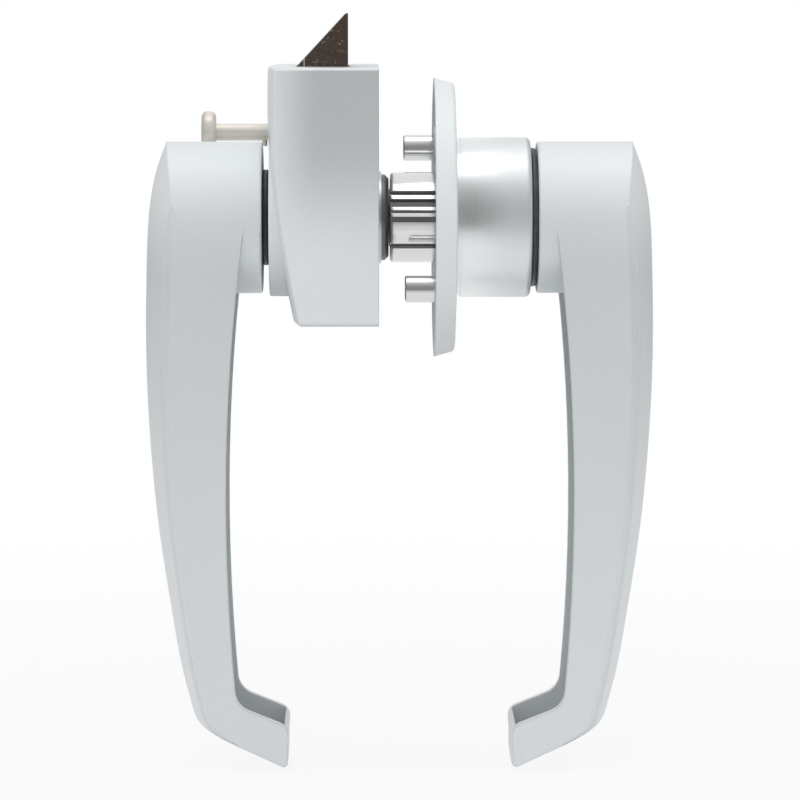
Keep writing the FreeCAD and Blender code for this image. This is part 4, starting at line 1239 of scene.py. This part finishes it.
@dataclass
class Studio:
    """Pale floor, white surroundings, a grey band that metal reflects, lamps and camera.

    The floor glows a little less near the lock, so that it keeps the lock's shadow. The
    band's greys are stops from its foot to its top.
    """

    ambient: float = 0.70
    floor_half: float = 120.0
    floor_grey: float = 0.70
    floor_glow: Range = (0.88, 1.0)
    floor_fade: Range = (0.10, 0.45)
    band_radius: float = 0.22
    band_high: float = 0.40
    band_steps: int = 96
    band_gap: float = math.radians(17.0)
    band_greys: Tuple[Range, ...] = (
        (0.0, 0.88), (0.06, 0.85), (0.10, 0.79), (0.125, 0.66), (0.15, 0.48), (0.19, 0.34),
        (0.24, 0.30), (0.32, 0.31), (0.40, 0.35), (0.51, 0.45), (0.66, 0.58), (0.90, 0.83),
        (1.0, 1.0),
    )
    eye: Point = (-0.00435, -0.95, 0.0545)
    aim: Point = (0.00485, 0.0, -0.0415)
    lens: float = 189.3
    sensor: float = 36.0
    clip_start: float = 0.01
    lamps: Tuple[Lamp, ...] = (
        Lamp("key_lamp", (-0.3, -0.95, 1.25), 1.0, 5.2, mirrored=False),
        Lamp("top_lamp", (0.1, -0.1, 1.6), 0.8, 2.9, mirrored=True),
        Lamp("left_lamp", (-1.4, -0.4, 0.35), 0.8, 2.3, mirrored=False),
        Lamp("right_lamp", (1.4, -0.4, 0.35), 0.8, 2.3, mirrored=False),
    )

    def seen(self, recipe: Recipe) -> Term:
        """Find the rays that show the surroundings: camera, glossy and see-through.

        Args:
            recipe: Where the nodes go.

        Returns:
            1 for such rays, 0 for those that light the lock.
        """
        path = recipe.node("ShaderNodeLightPath")
        rays = [Term(recipe, path.outputs[name]) for name in
                ("Is Camera Ray", "Is Glossy Ray", "Is Transmission Ray")]
        return rays[0].at_least(rays[1]).at_least(rays[2])

    def surroundings(self) -> None:
        """White surroundings that light the lock at a plain level."""
        world = bpy.data.worlds.new("surroundings")
        world.use_nodes = True
        recipe = Recipe(world.node_tree)
        strength = self.seen(recipe) * (1.0 - self.ambient) + self.ambient
        back = recipe.node("ShaderNodeBackground", None, {"Color": WHITE, "Strength": strength})
        recipe.node("ShaderNodeOutputWorld", None, {"Surface": back.outputs[0]})
        bpy.context.scene.world = world

    @staticmethod
    def screen(
        name: str, corners: Sequence[Point], faces: Sequence[Tuple[int, ...]],
    ) -> Tuple[bpy.types.Object, Recipe]:
        """Add a piece of the studio.

        Args:
            name: The piece's name.
            corners: Its corners.
            faces: Its faces, as numbers of corners.

        Returns:
            The piece and the recipe of its material.
        """
        mesh = bpy.data.meshes.new(name)
        mesh.from_pydata(corners, [], faces)
        piece = bpy.data.objects.new(name, mesh)
        bpy.context.scene.collection.objects.link(piece)
        made = bpy.data.materials.new(name + "_finish")
        made.use_nodes = True
        mesh.materials.append(made)
        return piece, Recipe(made.node_tree)

    def floor(self) -> None:
        """Plain pale floor under the levers' tips, which keeps the lock's shadow."""
        z, half = CAD_BOX[0][2], self.floor_half
        corners = [(-half, -half, z), (half, -half, z), (half, half, z), (-half, half, z)]
        piece, recipe = self.screen("floor", corners, [(0, 1, 2, 3)])
        matt = recipe.node("ShaderNodeBsdfDiffuse", None, {
            "Color": (self.floor_grey, self.floor_grey, self.floor_grey, 1.0)})
        glow = recipe.node("ShaderNodeEmission", None, {"Color": WHITE, "Strength": 1.0})
        x, y, _ = recipe.axes()
        away = (x * x + y * y).root().step(*self.floor_fade)
        near_glow, far_glow = self.floor_glow
        share = self.seen(recipe) * (away * (far_glow - near_glow) + near_glow)
        mixed = recipe.node("ShaderNodeMixShader", None, {
            0: share, 1: matt.outputs[0], 2: glow.outputs[0]})
        recipe.node("ShaderNodeOutputMaterial", None, {"Surface": mixed.outputs[0]})

    def band(self) -> None:
        """Tall grey screen round the lock, open behind it, that only reflections show."""
        low, high = CAD_BOX[0][2], self.band_high
        corners, faces = [], []
        for index in range(self.band_steps):
            turn = 2 * math.pi * index / self.band_steps
            x, y = self.band_radius * math.cos(turn), self.band_radius * math.sin(turn)
            corners += ((x, y, low), (x, y, high))
            after = 2 * ((index + 1) % self.band_steps)
            if abs(turn - math.pi / 2) > self.band_gap:
                faces.append((2 * index, after, after + 1, 2 * index + 1))
        piece, recipe = self.screen("grey_band", corners, faces)
        height = (recipe.axes()[2] - low) / (high - low)
        stops = [(place, (grey,) * 3) for place, grey in self.band_greys]
        tone = recipe.node("ShaderNodeValToRGB", {"stops": stops}, {0: height})
        glow = recipe.node("ShaderNodeEmission", None, {
            "Color": tone.outputs[0], "Strength": 1.0})
        recipe.node("ShaderNodeOutputMaterial", None, {"Surface": glow.outputs[0]})
        piece.visible_camera = False
        piece.visible_diffuse = False
        piece.visible_shadow = False

    def camera(self) -> None:
        """Camera at the photograph's place."""
        lens = bpy.data.cameras.new("photo_camera")
        lens.sensor_width = self.sensor
        lens.lens = self.lens
        lens.clip_start = self.clip_start
        piece = bpy.data.objects.new("photo_camera", lens)
        piece.location = self.eye
        piece.rotation_euler = facing(self.eye, self.aim)
        bpy.context.scene.collection.objects.link(piece)
        bpy.context.scene.camera = piece

    def build(self) -> None:
        """Put up the whole studio."""
        for name in ("Cube", "Light", "Camera"):
            left_over = bpy.data.objects.get(name)
            if left_over is not None:
                bpy.data.objects.remove(left_over)
        bpy.context.scene.view_settings.view_transform = "Standard"
        self.surroundings()
        self.floor()
        self.band()
        for lamp in self.lamps:
            lamp.build()
        self.camera()
        LOG.info("studio ready")


def bolt_finish() -> SinteredSteel:
    """Lay the bolt's finish on the bolt's own box and the top of the case.

    Returns:
        The finish, with the places of its bevel and its scored line.
    """
    low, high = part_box("bolt")
    case_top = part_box("latch_case")[1].z
    bevel_rise, tip_x, near_y = 0.0002, -0.0075, -0.007
    line_inset, line_height = 0.0016, 0.0022
    return SinteredSteel(
        Slot.SINTERED_STEEL, (0.086, 0.062, 0.050), roughness=0.58,
        ground=(0.86, 0.80, 0.68), foot=(low.x, case_top + bevel_rise),
        tip=(tip_x, high.z), near_y=near_y, line_x=low.x + line_inset,
        line_z=(case_top, case_top + line_height))


def silver_paint() -> SilverPaint:
    """Silver paint of the levers, which has fewer flakes on their bosses."""
    return SilverPaint(Slot.SILVER_PAINT, (0.775, 0.81, 0.825), roughness=0.56)


def bright_chrome() -> BrightChrome:
    """Bright plate of the barrel and the studs."""
    return BrightChrome(Slot.BRIGHT_CHROME, (0.73, 0.735, 0.74), roughness=0.12)


def rose_finish() -> SilverPaint:
    """Paint of the rose, which is paler and has few flakes."""
    return replace(
        silver_paint(), color=(0.83, 0.865, 0.88), top_flakes=0.15, foot_flakes=0.0,
        fall=(-0.02, 0.0), inside_shade_tone=1.0)


def case_finish() -> SilverPaint:
    """Lay the case's paint on the case's own front.

    Returns:
        Paint with more flakes towards the top and few on the front.
    """
    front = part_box("latch_case")[0].x
    before, behind = 0.002, 0.012
    return replace(
        silver_paint(), top_flakes=0.75, foot_flakes=0.02, fall=(-0.010, 0.018),
        thin_front=(front - before, front + behind), inside_shade_tone=1.0)


def neck_finish() -> SatinChrome:
    """Lay the neck's finish along the neck's own length.

    Returns:
        Chrome that is polished at the rose and dulled at the outer end.
    """
    low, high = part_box("neck_sleeve")
    polished_end, dulled_end = 0.001, 0.003
    return SatinChrome(
        Slot.SATIN_CHROME, (0.80, 0.82, 0.83), roughness=0.24,
        polished_x=low.x + polished_end, dulled_x=high.x - dulled_end)


def main() -> None:
    """Build the studio and dress the lock, one sub-assembly after the other."""
    logging.basicConfig(level=logging.INFO, format="%(message)s")
    Studio().build()
    dresser = Dresser((
        silver_paint(),
        neck_finish(),
        bright_chrome(),
        Nickel(Slot.NICKEL, (0.835, 0.795, 0.73), roughness=0.5),
        bolt_finish(),
        ZincSteel(Slot.ZINC_STEEL, (0.62, 0.64, 0.66), roughness=0.3),
        DarkSteel(Slot.DARK_STEEL, (0.2, 0.2, 0.205), roughness=0.4),
        SpringSteel(Slot.SPRING_STEEL, (0.45, 0.45, 0.46), roughness=0.28),
        MouldedBlack(Slot.BLACK_NYLON, (0.066, 0.066, 0.069), roughness=0.36),
        MouldedBlack(Slot.BLACK_RUBBER, (0.008, 0.008, 0.008), roughness=0.7),
    ))
    for sub_assembly in (LeverSet, LatchCase, BoltDrive, LockingPin, FlutedBarrel, OutsideHalf):
        sub_assembly(dresser).build()
        LOG.info("%s finished", sub_assembly.__name__)


if __name__ == "__main__":
    main()
